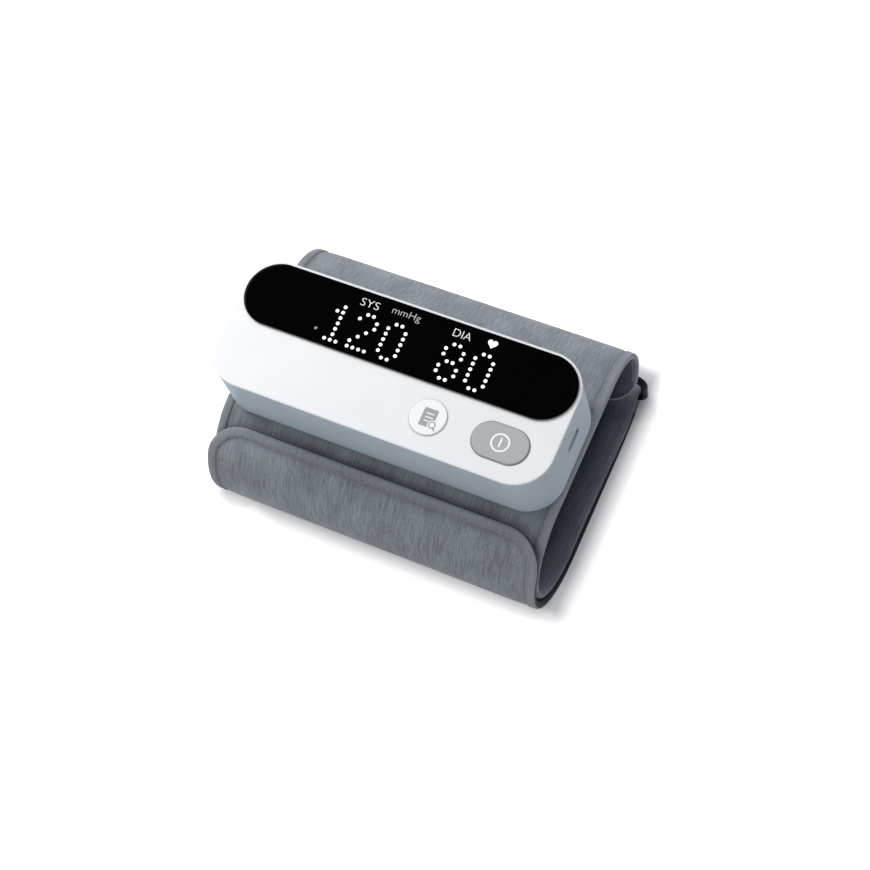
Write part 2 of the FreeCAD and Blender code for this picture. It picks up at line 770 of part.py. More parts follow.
def make_nipple(top):
    """The tube that takes the air down into the bladder, with its flange and its seal."""
    low = cuff_top - band_t
    tube = pipe(nipple_r, bore_r, vec(nipple_x, nipple_y, low), Z_AXIS, top - low)
    seat = vec(nipple_x, nipple_y, floor_z + seal_t)
    keep("air_nipple", tube.fuse(pipe(nipple_flange_r, bore_r, seat, Z_AXIS, nipple_flange_t)))
    keep("nipple_seal", pipe(nipple_flange_r, nipple_r, vec(nipple_x, nipple_y, floor_z), Z_AXIS, seal_t))


def make_air_system():
    pump_end = make_pump()
    manifold_z = floor_z + seal_t + nipple_flange_t
    top = manifold_z + manifold_h
    length, width = manifold_length / 2, manifold_width / 2
    block = box(nipple_x - length, nipple_x + length, nipple_y - width, nipple_y + width, manifold_z, top)
    make_nipple(manifold_z + nipple_h)
    block = block.cut(post(nipple_r, nipple_x, nipple_y, manifold_z - past, manifold_z + nipple_h))
    block = block.cut(post(bore_r, nipple_x, nipple_y, manifold_z, top + past))

    left = vec(nipple_x - length, nipple_y, pump_end.z)
    block = block.cut(Part.makeCylinder(bore_r, length, left, X_AXIS))
    block = block.fuse(nozzle(left, X_AXIS * -1))
    keep("pump_hose", pipe(nozzle_r + hose_t, nozzle_r, pump_end, X_AXIS, left.x - pump_end.x))

    valve_z = board_low - valve_r
    valve_end = vec(valve_x, valve_y + valve_length, valve_z)
    valve = Part.makeCylinder(valve_r, valve_length, vec(valve_x, valve_y, valve_z), Y_AXIS)
    front = vec(valve_x, nipple_y - width, valve_z)
    keep("release_valve", valve.fuse(nozzle(valve_end, Y_AXIS)))
    keep("valve_hose", pipe(nozzle_r + hose_t, nozzle_r, valve_end, Y_AXIS, front.y - valve_end.y))
    drilled = Part.makeCylinder(bore_r, width, front, Y_AXIS)
    keep("air_manifold", block.cut(drilled).fuse(nozzle(front, Y_AXIS * -1)))

    sensor_z = board_low - sensor_h
    half = sensor_size / 2
    sensor = box(nipple_x - half, nipple_x + half, nipple_y - half, nipple_y + half, sensor_z, board_low)
    tail = vec(nipple_x, nipple_y, top + sensor_gap)
    keep("pressure_sensor", sensor.fuse(pipe(nozzle_r, bore_r, tail, Z_AXIS, sensor_z - tail.z)))


def make_battery():
    z = floor_z + battery_pad_t
    keep("battery_pack", slab(battery_length, battery_width, battery_corner_r, battery_x, battery_y, z,
                              z + battery_h))
    keep("battery_pad", slab(battery_length - 2 * battery_pad_short, battery_pad_width, battery_pad_r,
                             battery_x, battery_y, floor_z, z))


# ---------------------------------------------------------------- screws, and the plate in the cuff
def make_case_screws():
    seat_z = joint_z - wall
    screws = []
    for x, y in case_screw_places():
        head = post(head_r, x, y, seat_z - head_h, seat_z)
        screws.append(head.fuse(post(shank_r, x, y, seat_z, seat_z + case_screw_length)))
    keep("case_screws", Part.makeCompound(screws))


def make_cuff_plate():
    """The stiff plate in the cuff's top, which countersunk screws hold against the housing."""
    low = cuff_top - band_t
    plate = slab(cuff_plate_length, cuff_plate_width, cuff_plate_r, 0, unit_y, low, low + cuff_plate_t)
    screws = []
    for x, y in cuff_screw_places():
        head = Part.makeCone(head_r, shank_r, cuff_head_h, vec(x, y, low), Z_AXIS)
        screws.append(head.fuse(post(shank_r, x, y, low, low + cuff_screw_length)))
        plate = plate.cut(head).cut(post(shank_r, x, y, low - past, cuff_top))
    plate = plate.cut(post(nipple_r + hole_gap, nipple_x, nipple_y, low - past, cuff_top))
    keep("cuff_plate", plate)
    keep("cuff_screws", Part.makeCompound(screws))


make_band()
make_flap()
make_inner_layers()
keep("loop_patch", patch_on_loop())
keep("hook_patch", patch_on_flap())
make_ring()
make_ring_strap()
make_lower_shell()
make_top_shell()
make_display()
make_boards()
make_socket()
make_buttons()
make_sleeves()
make_air_system()
make_battery()
make_case_screws()
make_cuff_plate()

os.makedirs("parts", exist_ok=True)
for node, shape in PARTS.items():
    ok = shape.isValid()
    size = shape.BoundBox
    print(node, len(shape.Solids), ok, round(shape.Volume, 1), round(size.XMin, 2), round(size.XMax, 2),
          round(size.YMin, 2), round(size.YMax, 2), round(size.ZMin, 2), round(size.ZMax, 2))
    shape.exportStep("parts/" + node + ".step")
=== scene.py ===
# %% [markdown]
# # An upper-arm blood pressure monitor and its cuff
# A slim measuring unit is screwed to the top of a fabric cuff. The cuff is one long strip: it starts in a
# curl at the back, runs flat under the unit, bends round the arm's opening, passes a D-ring at the back and
# closes over its own front with a flap. The hard parts come ready from the CAD model, so this lesson gives
# them their finishes, and it makes everything that is soft, printed or lit.

# %% Load the frame that every piece is fitted to
import json
import math

import bpy
import numpy as np
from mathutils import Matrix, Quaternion, Vector, noise


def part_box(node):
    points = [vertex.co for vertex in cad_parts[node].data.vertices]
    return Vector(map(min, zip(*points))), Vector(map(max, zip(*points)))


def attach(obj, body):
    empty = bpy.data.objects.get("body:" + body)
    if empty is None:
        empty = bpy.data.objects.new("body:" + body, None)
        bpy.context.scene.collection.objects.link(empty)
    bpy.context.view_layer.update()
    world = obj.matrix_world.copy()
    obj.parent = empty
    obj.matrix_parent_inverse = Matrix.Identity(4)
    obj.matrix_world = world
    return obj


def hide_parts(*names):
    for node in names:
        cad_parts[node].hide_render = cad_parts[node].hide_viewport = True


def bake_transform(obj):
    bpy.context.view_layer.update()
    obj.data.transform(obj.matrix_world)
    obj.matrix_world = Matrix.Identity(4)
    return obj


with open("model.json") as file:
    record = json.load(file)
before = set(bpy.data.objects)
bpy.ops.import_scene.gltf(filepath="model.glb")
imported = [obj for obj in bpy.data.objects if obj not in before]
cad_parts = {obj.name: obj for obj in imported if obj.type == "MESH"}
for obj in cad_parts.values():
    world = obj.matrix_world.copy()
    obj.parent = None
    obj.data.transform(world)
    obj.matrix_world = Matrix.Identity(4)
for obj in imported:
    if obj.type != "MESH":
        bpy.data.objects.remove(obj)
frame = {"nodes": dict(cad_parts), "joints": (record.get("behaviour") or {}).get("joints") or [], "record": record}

MM = 0.001
full_turn = 2 * math.pi
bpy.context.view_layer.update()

# %% [markdown]
# ## Sizes
# Everything is measured once, here. What the CAD nodes can tell is read from them, so that a piece that sits
# on the face plate finds the plate. What they can't tell, such as the radius of a bend in the cuff, is a
# named length.

# %% Sizes of the housing, read from the frame
face_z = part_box("top_shell")[1].z
lens_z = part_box("display_lens")[1].z
base_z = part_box("lower_shell")[0].z
start_low, start_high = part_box("start_button")
memory_low, memory_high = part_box("memory_button")
start_centre = (start_low + start_high) / 2
memory_centre = (memory_low + memory_high) / 2
hinge = Vector(next(j["pos_m"] for j in frame["joints"] if j["name"] == "flap_peel"))
print("face plate at", round(face_z / MM, 2), "mm, cuff top at", round(base_z / MM, 2), "mm")

# %% Sizes of the cuff
half_width = 68.65 * MM
band = 2.6 * MM             # cloth, foam and cloth, bound at the edge
curl_r = 22.3 * MM          # outside of the curl at the back
curl_below = 64.0           # degrees that the curl goes on below its furthest point back
top_run = 50.4 * MM
loop_r = 27.2 * MM          # outside of the loop's front bend
wrap_r = 28.6 * MM          # inside of the outer wrap's front bend
fold_r = 2.4 * MM           # inside of the fold round the D-ring's bar
rise_turn = 25.0            # degrees
flap_rise = 64.7            # degrees
flap_corner = 15.0 * MM
curl_corner = 12.0 * MM
tiny = 0.05 * MM            # points closer than this count as one
cuff_shift = 1.5 * MM       # the cuff lies a little to the right of the unit's middle
cuff_slant = 0.009          # and a little askew
drawn_in = 0.01             # the band is this share narrower where it goes round the arm
gathered_in = 0.012         # and where it goes through the D-ring

bend_y = hinge.y + wrap_r + band
bend_z = hinge.z
curl_y = bend_y + top_run
curl_z = base_z - curl_r
fold_z = fold_r + band
fold_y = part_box("cuff_band")[1].y - fold_z
rise_r = (fold_z + fold_r - (bend_z - loop_r)) / (2 * (1 - math.cos(math.radians(rise_turn))))
bottom_run = fold_y - 2 * rise_r * math.sin(math.radians(rise_turn)) - bend_y

# %% [markdown]
# ## Finishes
# A finish is a small network of shader nodes. Wired by hand in the shader editor, it is quick to make and
# hard to read back, so here a sum on sockets is written as a sum: `Wire` wraps the output of a node, and an
# operator on it adds the Math node. Every other node goes through one method, which sets the node up first
# and then gives its sockets their values or links.

# %% A socket that can be calculated with
class Wire:
    """The output of a shader node, on which sums read as plain Python."""

    def __init__(self, finish, socket):
        self.finish = finish
        self.socket = socket

    def math(self, operation, first, second):
        return self.finish.node("ShaderNodeMath", {"operation": operation}, {0: first, 1: second})

    def __add__(self, other):
        return self.math("ADD", self, other)

    def __radd__(self, other):
        return self.math("ADD", other, self)

    def __sub__(self, other):
        return self.math("SUBTRACT", self, other)

    def __rsub__(self, other):
        return self.math("SUBTRACT", other, self)

    def __mul__(self, other):
        return self.math("MULTIPLY", self, other)

    def __rmul__(self, other):
        return self.math("MULTIPLY", other, self)

    def __pow__(self, other):
        return self.math("POWER", self, other)

    def __lt__(self, other):
        return self.math("LESS_THAN", self, other)

    def __abs__(self):
        return self.math("ABSOLUTE", self, 0.0)

    def at_least(self, least):
        return self.math("MAXIMUM", self, least)


# %% Colours, and where they stand on a ramp
def shade(red, green, blue):
    return (red, green, blue, 1.0)


def grey(level):
    return shade(level, level, level)


def tinted(colour, factor):
    """The same colour, lighter or darker."""
    return (*[min(1.0, part * factor) for part in colour[:3]], 1.0)


def set_stops(ramp, stops):
    while len(ramp.elements) < len(stops):
        ramp.elements.new(1.0)
    for element, (place, colour) in zip(ramp.elements, stops):
        element.position = place
        element.color = colour


WHITE = grey(1)
BLACK = grey(0)


# %% One procedural finish
class Finish:
    """A material, or a world, under construction."""

    def __init__(self, name, library=bpy.data.materials):
        self.material = library.new(name)
        self.material.use_nodes = True
        self.tree = self.material.node_tree
        self.tree.nodes.clear()

    def node(self, kind, settings=None, sockets=None, output=0):
        """Adds a node: its settings first, and then a value or a link for each socket."""
        made = self.tree.nodes.new(kind)
        for key, value in (settings or {}).items():
            if key == "stops":
                set_stops(made.color_ramp, value)
            else:
                setattr(made, key, value)
        for key, value in (sockets or {}).items():
            if isinstance(value, Wire):
                self.tree.links.new(value.socket, made.inputs[key])
            else:
                made.inputs[key].default_value = value
        return Wire(self, made.outputs[output]) if made.outputs else None

    def place(self, factors):
        """Object coordinates, stretched."""
        place = self.node("ShaderNodeTexCoord", output="Object")
        return self.node("ShaderNodeVectorMath", {"operation": "MULTIPLY"}, {0: place, 1: factors})

    def flat(self, factors):
        """The place on the flat cloth before it was wound, stretched."""
        cut = self.node("ShaderNodeAttribute", {"attribute_name": "cut"}, output="Vector")
        return self.node("ShaderNodeVectorMath", {"operation": "MULTIPLY"}, {0: cut, 1: factors})

    def part(self, vector, axis):
        """The X, Y or Z of a vector."""
        return self.node("ShaderNodeSeparateXYZ", None, {0: vector}, output=axis)

    def parts(self, vector):
        """The X and Y of a vector."""
        return self.part(vector, "X"), self.part(vector, "Y")

    def through(self):
        """How deep in the strip a point is, from one face to the other."""
        return self.part(self.flat((1, 1, 1)), "Z")

    def painted_groove_shade(self):
        """How much shade is painted for the groove of the seam: 1 at the seam behind the edge tape, 0 away from
        it.
        """
        return self.node("ShaderNodeAttribute", {"attribute_name": "seam"}, output="Fac")

    def mix(self, share, first, second):
        """The first colour where share is 0, and the second where it is 1."""
        sockets = {0: share, 6: first, 7: second}
        return self.node("ShaderNodeMix", {"data_type": "RGBA"}, sockets, output=2)

    def speckle(self, vector, detail):
        sockets = {"Vector": vector, "Scale": 1.0, "Detail": detail}
        return self.node("ShaderNodeTexNoise", None, sockets)

    def grain(self, x, y, z, detail=2.0):
        """Noise through the piece, whose grains have this size."""
        return self.speckle(self.place((1 / x, 1 / y, 1 / z)), detail)

    def even_grain(self, size):
        return self.grain(size, size, size)

    def cloth_grain(self, across, along, detail=2.0):
        """Noise on the flat cloth, whose grains have this size."""
        return self.speckle(self.flat((1 / across, 1 / along, 1 / MM)), detail)

    def phases(self, across, along):
        """Two angles that grow across and along the flat cloth, by a full turn in each such length."""
        return self.parts(self.flat((full_turn / across, full_turn / along, 0)))

    def ramp(self, value, *stops):
        return self.node("ShaderNodeValToRGB", {"stops": stops}, {0: value})

    def fade(self, value, start):
        """1 up to start, and then less, down to 0 at 1."""
        return self.ramp(value, (start, WHITE), (1.0, BLACK))

    def sine(self, value):
        return self.node("ShaderNodeMath", {"operation": "SINE"}, {0: value})

    def surface(self, colour, roughness, height=None, depth=0.0, more=None):
        """The shader itself. more holds what is the same all over the piece."""
        sockets = {"Base Color": colour, "Roughness": roughness, **(more or {})}
        if height is not None:
            bump = {"Height": height, "Distance": depth, "Strength": 1.0}
            sockets["Normal"] = self.node("ShaderNodeBump", None, bump)
        shader = self.node("ShaderNodeBsdfPrincipled", None, sockets)
        self.node("ShaderNodeOutputMaterial", None, {"Surface": shader})
        return self.material


# %% [markdown]
# ### Cloth
# The cuff's cloth is a grey blend: threads of slightly different greys run round the arm, so the surface
# has fine streaks that way and none across. An image of cloth would do, but it would repeat and blur close
# up. Noise that is stretched along the threads gives the streaks at any distance, a finer one gives the
# flecks, and two crossed waves lift the weave. The lining is the same cloth in a darker dye, with painted
# light near the cuff's edge, where light reaches into the loop, and painted shade deep inside it.

# %% Cloth, tape and webbing
GREY_CLOTH = shade(0.215, 0.232, 0.26)
TAPE_CLOTH = shade(0.23, 0.245, 0.272)
LINING = shade(0.05, 0.055, 0.069)
BACKING = shade(0.014, 0.016, 0.021)
GREY_WEAVE = (0.4, 0.62 * MM, 0.05 * MM)        # contrast, and the pitch and depth of the threads
TAPE_WEAVE = (0.2, 0.5 * MM, 0.04 * MM)
LINING_WEAVE = (0.2, 0.45 * MM, 0.03 * MM)
TONE_LOW = 0.36             # between these two lies nearly all of the mixed noise
TONE_HIGH = 0.64
edge_light_reach = 13 * MM         # how far from the edge painted light reaches into the lining
fully_lit_share = 0.15         # and the share of that which is painted fully lit


def lining_light_and_shade_tint(finish, tone):
    """The dark lining, painted lighter near the cuff's edge, where light reaches into the loop, and painted darker
    deep inside it as shade. Just before the fold it is painted light again.
    """
    across, along = finish.parts(finish.flat((1, 1, 1)))
    before_fold = finish.fade(along * (1 / fold_start), 0.97)
    inside = ((half_width - abs(across)) * (1 / edge_light_reach) - fully_lit_share) * before_fold
    # near is the painted light by the cuff's edge, deep the painted shade inside the loop
    near = finish.ramp(tone, (TONE_LOW, tinted(LINING, 1.5)), (TONE_HIGH, tinted(LINING, 3.2)))
    deep = finish.ramp(tone, (TONE_LOW, tinted(LINING, 0.05)), (TONE_HIGH, tinted(LINING, 0.3)))
    return finish.mix(inside, near, deep)


def cloth(name, colour, contrast, pitch, depth, lined=None, backing=None, fuzz=0.12):
    """Woven cloth, whose threads run along the strip.

    lined tells where it is dark: there it is lining, with the lining's painted light and shade, or it has the
    colour of backing.
    """
    finish = Finish(name)
    streaks = finish.cloth_grain(0.42 * MM, 6.5 * MM, 3.0)
    flecks = finish.cloth_grain(0.3 * MM, 0.7 * MM)
    clouds = finish.cloth_grain(14 * MM, 22 * MM)
    tone = streaks * 0.44 + flecks * 0.3 + clouds * 0.26
    tint = finish.ramp(tone, (TONE_LOW, tinted(colour, 1 - contrast)), (0.5, colour),
                       (TONE_HIGH, tinted(colour, 1 + contrast)))
    # painted shade in the groove along the seam, darker on the cloth and the tape there
    tint = finish.mix(finish.painted_groove_shade() * 0.5, tint, tinted(colour, 0.4))
    if lined:
        tint = finish.mix(lined(finish), tint, backing or lining_light_and_shade_tint(finish, tone))
    across, along = finish.phases(pitch, pitch * 1.25)
    weave = finish.sine(across) * finish.sine(along)
    height = weave * 0.35 + streaks * 0.9 + flecks * 0.5
    return finish.surface(tint, 0.88, height, depth, {"Sheen Weight": fuzz, "Sheen Roughness": 0.5,
                                                      "Specular IOR Level": fuzz})


def thread(name, colour, lined):
    """Twisted sewing thread, dyed dark where the cloth is."""
    finish = Finish(name)
    across, along = finish.phases(0.5 * MM, 0.35 * MM)
    twist = finish.sine(across + along)
    tint = finish.ramp(twist * 0.5 + 0.5, (0.1, tinted(colour, 0.7)), (0.9, colour))
    tint = finish.mix(lined(finish), tint, tinted(LINING, 2.0))
    return finish.surface(tint, 0.7, twist, 0.04 * MM, {"Sheen Weight": 0.2})


def webbing(name, colour):
    """Close ribs of a woven strap, across its length."""
    finish = Finish(name)
    across, along = finish.phases(1.1 * MM, 1.6 * MM)
    ribs = finish.sine(across + finish.sine(along) * 0.6)
    fuzz = finish.cloth_grain(0.25 * MM, 0.5 * MM)
    tint = finish.ramp(ribs * 0.3 + fuzz * 0.6 + 0.2, (0.2, tinted(colour, 0.6)), (0.8, tinted(colour, 1.3)))
    return finish.surface(tint, 0.85, ribs * 0.7 + fuzz * 0.4, 0.12 * MM, {"Sheen Weight": 0.2})


def pile(name, colour, size, depth):
    """Hook tape or loop tape: a mat of tiny standing threads."""
    finish = Finish(name)
    sockets = {"Vector": finish.flat((1 / size,) * 3), "Scale": 1.0, "Randomness": 0.7}
    tips = finish.node("ShaderNodeTexVoronoi", None, sockets)
    tuft = 1 - tips
    tint = finish.ramp(tuft, (0.2, tinted(colour, 0.4)), (0.9, tinted(colour, 1.4)))
    return finish.surface(tint, 0.9, tuft, depth, {"Sheen Weight": 0.4})


# %% [markdown]
# ### Plastic, metal and rubber
# Moulded plastic is never a single flat colour: the tool's spark-eroded grain breaks up the highlights, and
# handling leaves slightly shinier and duller areas. A fine bump and a slow change of roughness are enough.
# The display panel is polished, so it has a clear coat and almost no grain.

# %% Plastic, metal and rubber
panel_edge_drop = 0.06 * MM     # the panel's rounded edge begins this far below its top, and below that a lighter grey is painted as its reflection


def moulded(name, colour, roughness=0.45, grain=0.01 * MM, coat=0.0):
    """Moulded plastic with a fine grain."""
    finish = Finish(name)
    fine = finish.even_grain(0.22 * MM)
    slow = finish.even_grain(17 * MM)
    tint = finish.ramp(slow, (0.3, tinted(colour, 0.985)), (0.7, tinted(colour, 1.015)))
    worn = (slow - 0.5) * 0.12 + (fine - 0.5) * 0.05 + roughness
    return finish.surface(tint, worn, fine, grain, {"Coat Weight": coat, "Coat Roughness": 0.15})


def polished(name, colour, shine, edge=None):
    """Polished plastic, with a trace of smears. edge is the lighter colour painted on a panel's rounded edge as a
    reflection.
    """
    finish = Finish(name)
    slow = finish.grain(9 * MM, 26 * MM, 9 * MM, 4.0)
    tint = finish.ramp(slow, (0.3, colour), (0.7, tinted(colour, 1.2)))
    # a painted reflection: the rounded edge is lighter than the panel
    if edge:
        height = finish.part(finish.place((1, 1, 1)), "Z")
        tint = finish.mix(height < lens_z - panel_edge_drop, tint, edge)
    return finish.surface(tint, slow * 0.03 + 0.045, slow, 0.002 * MM, {"Specular IOR Level": shine})


def metal(name, colour):
    """Plated or turned metal with fine lines."""
    finish = Finish(name)
    lines = finish.grain(0.1 * MM, 3 * MM, 0.1 * MM)
    tint = finish.ramp(lines, (0.3, tinted(colour, 0.85)), (0.7, colour))
    return finish.surface(tint, lines * 0.2 + 0.2, lines, 0.01 * MM, {"Metallic": 1.0})


def printed(name, colour):
    """Printing ink, a little uneven."""
    finish = Finish(name)
    fine = finish.even_grain(0.3 * MM)
    tint = finish.ramp(fine, (0.3, tinted(colour, 0.96)), (0.7, colour))
    return finish.surface(tint, fine * 0.1 + 0.45)


def lit(name, colour):
    """Light that comes through the panel, a little uneven."""
    finish = Finish(name)
    fine = finish.even_grain(0.6 * MM)
    glow = finish.ramp(fine, (0.2, tinted(colour, 0.94)), (0.8, colour))
    return finish.surface(tinted(colour, 0.3), 0.4, more={"Emission Color": glow, "Emission Strength": 1.0})


# %% [markdown]
# ### Dressing the CAD nodes
# Each CAD node names the finish it wants, its slot. So one table from slot to finish dresses all of them,
# and a new node is dressed the day it appears.

# %% The table of finishes
FINISHES = {
    "cuff_fabric": cloth("grey_blend_cloth", GREY_CLOTH, *GREY_WEAVE),
    "binding": cloth("edge_tape", TAPE_CLOTH, *TAPE_WEAVE),
    "lining": cloth("dark_lining", LINING, *LINING_WEAVE),
    "bladder": moulded("welded_film", shade(0.05, 0.05, 0.055), 0.5),
    "hook_and_loop": pile("loop_tape", shade(0.045, 0.047, 0.055), 0.45 * MM, 0.15 * MM),
    "webbing": webbing("strap_webbing", shade(0.03, 0.031, 0.035)),
    "ring_plastic": polished("ring_gloss", shade(0.004, 0.004, 0.005), 0.15),
    "shell_grey": moulded("satin_grey_blue", shade(0.36, 0.43, 0.48), 0.42),
    "shell_white": moulded("satin_white", shade(0.75, 0.76, 0.775), 0.36, 0.004 * MM, 0.1),
    # its last colour is the reflection painted on the panel's rounded edge
    "panel_black": polished("panel_gloss", shade(0.0006, 0.0006, 0.0008), 0.02, shade(0.16, 0.17, 0.18)),
    "led": moulded("led_resin", shade(0.6, 0.6, 0.58), 0.5),
    "board": moulded("solder_mask", shade(0.01, 0.08, 0.03), 0.35),
    "black_plastic": moulded("black_moulding", shade(0.015, 0.015, 0.016), 0.5),
    "white_plastic": moulded("white_moulding", shade(0.7, 0.7, 0.68), 0.5),
    "switch": moulded("switch_body", shade(0.02, 0.02, 0.022), 0.4),
    "steel": metal("plated_steel", shade(0.6, 0.6, 0.61)),
    "button_grey": moulded("button_grey", shade(0.37, 0.38, 0.395), 0.5),
    "button_white": moulded("button_white", shade(0.8, 0.81, 0.825), 0.42),
    "silicone": moulded("silicone", grey(0.5), 0.6),
    "foam": moulded("foam", grey(0.03), 0.9, 0.08 * MM),
    "battery_film": moulded("shrink_film", shade(0.02, 0.08, 0.3), 0.25),
}
slot_of = {part["node"]: part["material_slot"] for part in frame["record"]["subparts"]}
for node_name, node in frame["nodes"].items():
    node.data.materials.clear()
    node.data.materials.append(FINISHES[slot_of[node_name]])
print(len(FINISHES), "finishes on", len(frame["nodes"]), "nodes")

# %% [markdown]
# ## The camera
# A product view looks down on the face from the front right, close enough for the far end to look smaller. A
# camera is aimed with a point to look at and then rolled about its own line of sight.

# %% Camera
camera_place = Vector((190.97, -186.94, 625.78)) * MM
look_at = Vector((20.71, -17.66, 75.91)) * MM
camera_roll = -22.84        # degrees
camera_data = bpy.data.cameras.new("camera")
camera_data.lens = 69.35
camera_data.sensor_width = 36.0
camera = bpy.data.objects.new("camera", camera_data)
bpy.context.scene.collection.objects.link(camera)
camera.location = camera_place
aim = (look_at - camera_place).to_track_quat("-Z", "Y")
camera.rotation_mode = "QUATERNION"
camera.rotation_quaternion = aim @ Quaternion((0, 0, 1), math.radians(camera_roll))
bpy.context.scene.camera = camera

# %% [markdown]
# ## Tools for modelling
# An operator works on whatever is selected, and after loading that is every CAD node. So each step starts
# by selecting one piece alone, and inside it only the corners, edges or faces that a rule accepts.

# %% Selecting, naming and finishing
def alone(piece):
    bpy.ops.object.select_all(action="DESELECT")
    piece.select_set(True)
    bpy.context.view_layer.objects.active = piece
    return piece


def called(name):
    """Names the piece that an operator has just made, and puts its place into its mesh."""
    piece = bpy.context.object
    piece.name = name
    piece.data.name = name
    alone(piece)
    bpy.ops.object.transform_apply(location=True, rotation=True, scale=True)
    return piece


def moved(piece, way):
    """Moves a piece, within its mesh."""
    piece.location = way
    alone(piece)
    bpy.ops.object.transform_apply(location=True)


def pick(piece, kind, wanted):
    """Opens a piece for editing, with only the corners, edges or faces selected that wanted accepts."""
    alone(piece)
    bpy.ops.object.mode_set(mode="EDIT")
    bpy.ops.mesh.select_mode(type=kind)
    bpy.ops.mesh.select_all(action="DESELECT")
    bpy.ops.object.mode_set(mode="OBJECT")
    mesh = piece.data
    if kind == "VERT":
        for corner in mesh.vertices:
            corner.select = bool(wanted(corner.co))
    elif kind == "EDGE":
        for edge in mesh.edges:
            edge.select = bool(wanted(*[mesh.vertices[corner].co for corner in edge.vertices]))
    else:
        for face in mesh.polygons:
            face.select = bool(wanted(face.center, face.normal))
    bpy.ops.object.mode_set(mode="EDIT")


def done(outwards=False):
    """Closes the piece again. outwards turns all its faces out."""
    if outwards:
        bpy.ops.mesh.select_all(action="SELECT")
        bpy.ops.mesh.normals_make_consistent(inside=False)
    bpy.ops.object.mode_set(mode="OBJECT")


def flat_plane(name, centre, x_size, y_size, turn=0.0):
    """An oblong plane."""
    bpy.ops.mesh.primitive_plane_add(size=1, location=centre, rotation=(0, 0, turn))
    bpy.context.object.scale = (x_size, y_size, 1)
    return called(name)


def flat_disc(name, corners, radius, centre=(0, 0, 0)):
    """A filled circle with this many corners."""
    bpy.ops.mesh.primitive_circle_add(vertices=corners, radius=radius, fill_type="NGON", location=centre)
    return called(name)


def hollowed(piece, width):
    """Leaves only a border of this width of a flat piece."""
    pick(piece, "FACE", lambda co, normal: True)
    bpy.ops.mesh.inset(thickness=width)
    bpy.ops.mesh.delete(type="FACE")
    done()


def modified(piece, kind, **settings):
    """Adds a modifier and applies it."""
    modifier = piece.modifiers.new(kind.lower(), kind)
    for key, value in settings.items():
        setattr(modifier, key, value)
    alone(piece)
    bpy.ops.object.modifier_apply(modifier=modifier.name)
    return piece


def thickened(piece, thickness):
    """Gives a flat piece a body above it."""
    return modified(piece, "SOLIDIFY", thickness=thickness, offset=1)


def smooth(piece, degrees=40.0):
    alone(piece)
    bpy.ops.object.shade_smooth_by_angle(angle=math.radians(degrees))
    return piece


def joined(pieces, name):
    """Several pieces as one, under a new name."""
    bpy.ops.object.select_all(action="DESELECT")
    for piece in pieces:
        piece.select_set(True)
    bpy.context.view_layer.objects.active = pieces[0]
    bpy.ops.object.join()
    return called(name)


def dressed(piece, finish, body):
    """Gives a piece its finish and the body it moves with, if that is only one."""
    piece.data.materials.clear()
    piece.data.materials.append(finish)
    if body:
        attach(piece, body)


def points_of(piece):
    flat = np.empty(len(piece.data.vertices) * 3, np.float32)
    piece.data.vertices.foreach_get("co", flat)
    return flat.reshape(-1, 3)


def move_points(piece, points):
    piece.data.vertices.foreach_set("co", np.asarray(points, np.float32).ravel())
    piece.data.update()


# %% [markdown]
# ## The cuff is sewn flat and then wound up
# A real cuff is cut and sewn on a flat table and only then wound into its loops. Modelling it the same way
# keeps every step simple: cloth, tape and stitches are made flat, with X across the cuff, Y along it and Z
# through it. A Curve modifier then winds all of them along the same route, so they stay together. The route
# is a curve of straight runs and arcs that stands upright in the plane that cuts the cuff lengthwise.

# %% Drawing a route
STEP = math.radians(2.0)


def draw_line(name, points):
    """A guide through flat points, for a Curve modifier. It is never rendered."""
    data = bpy.data.curves.new(name, "CURVE")
    data.dimensions = "2D"
    data.use_deform_bounds = False
    line = data.splines.new("POLY")
    line.points.add(len(points) - 1)
    for point, (x, y) in zip(line.points, points):
        point.co = (x, y, 0, 1)
    guide = bpy.data.objects.new(name, data)
    bpy.context.scene.collection.objects.link(guide)
    guide.hide_render = True
    return guide


def draw_route(name, start, heading, moves):
    """A guide of straight runs and arcs. An arc is (radius, degrees), positive to the left."""
    y, z = start
    angle = math.radians(heading)
    points = [(y, z)]
    for move in moves:
        if len(move) == 1:
            y += move[0] * math.cos(angle)
            z += move[0] * math.sin(angle)
            points.append((y, z))
            continue
        radius, turn = move[0], math.radians(move[1])
        side = math.copysign(1.0, turn)
        centre_y = y - side * radius * math.sin(angle)
        centre_z = z + side * radius * math.cos(angle)
        steps = math.ceil(abs(turn) / STEP)
        for i in range(1, steps + 1):
            now = angle + turn * i / steps
            y = centre_y + side * radius * math.sin(now)
            z = centre_z - side * radius * math.cos(now)
            points.append((y, z))
        angle += turn
    route = draw_line(name, points)
    route.rotation_euler = (math.pi / 2, 0, math.pi / 2)
    return route


def length_of(move):
    return move[0] if len(move) == 1 else move[0] * math.radians(abs(move[1]))


def point_round(centre_y, centre_z, radius, degrees_below):
    """A point on a circle, so far below its furthest point back."""
    below = math.radians(degrees_below)
    return centre_y + radius * math.cos(below), centre_z - radius * math.sin(below)


# %% The route of the cuff
CUFF_MOVES = [(curl_r, 90 + curl_below), (top_run,), (loop_r, 180), (bottom_run,), (rise_r, rise_turn),
              (rise_r, -rise_turn), (fold_r, -180), (fold_y - bend_y,), (wrap_r, -90), (wrap_r, -flap_rise)]
cuff_start = point_round(curl_y, curl_z, curl_r, curl_below)
cuff_route = draw_route("cuff_route", cuff_start, 90 - curl_below, CUFF_MOVES)
marks = np.cumsum([0.0] + [length_of(move) for move in CUFF_MOVES])
bend_start, bend_end, rise_start = marks[2:5]
fold_start, under_start = marks[6:8]
hinge_at, flap_end = marks[9:]
fold_at = under_start - fold_r * math.pi / 2
seam_at = under_start + 6 * MM      # where the two pieces of the strip meet, on the table side
print("the cuff is", round(flap_end / MM, 1), "mm long when it is flat")

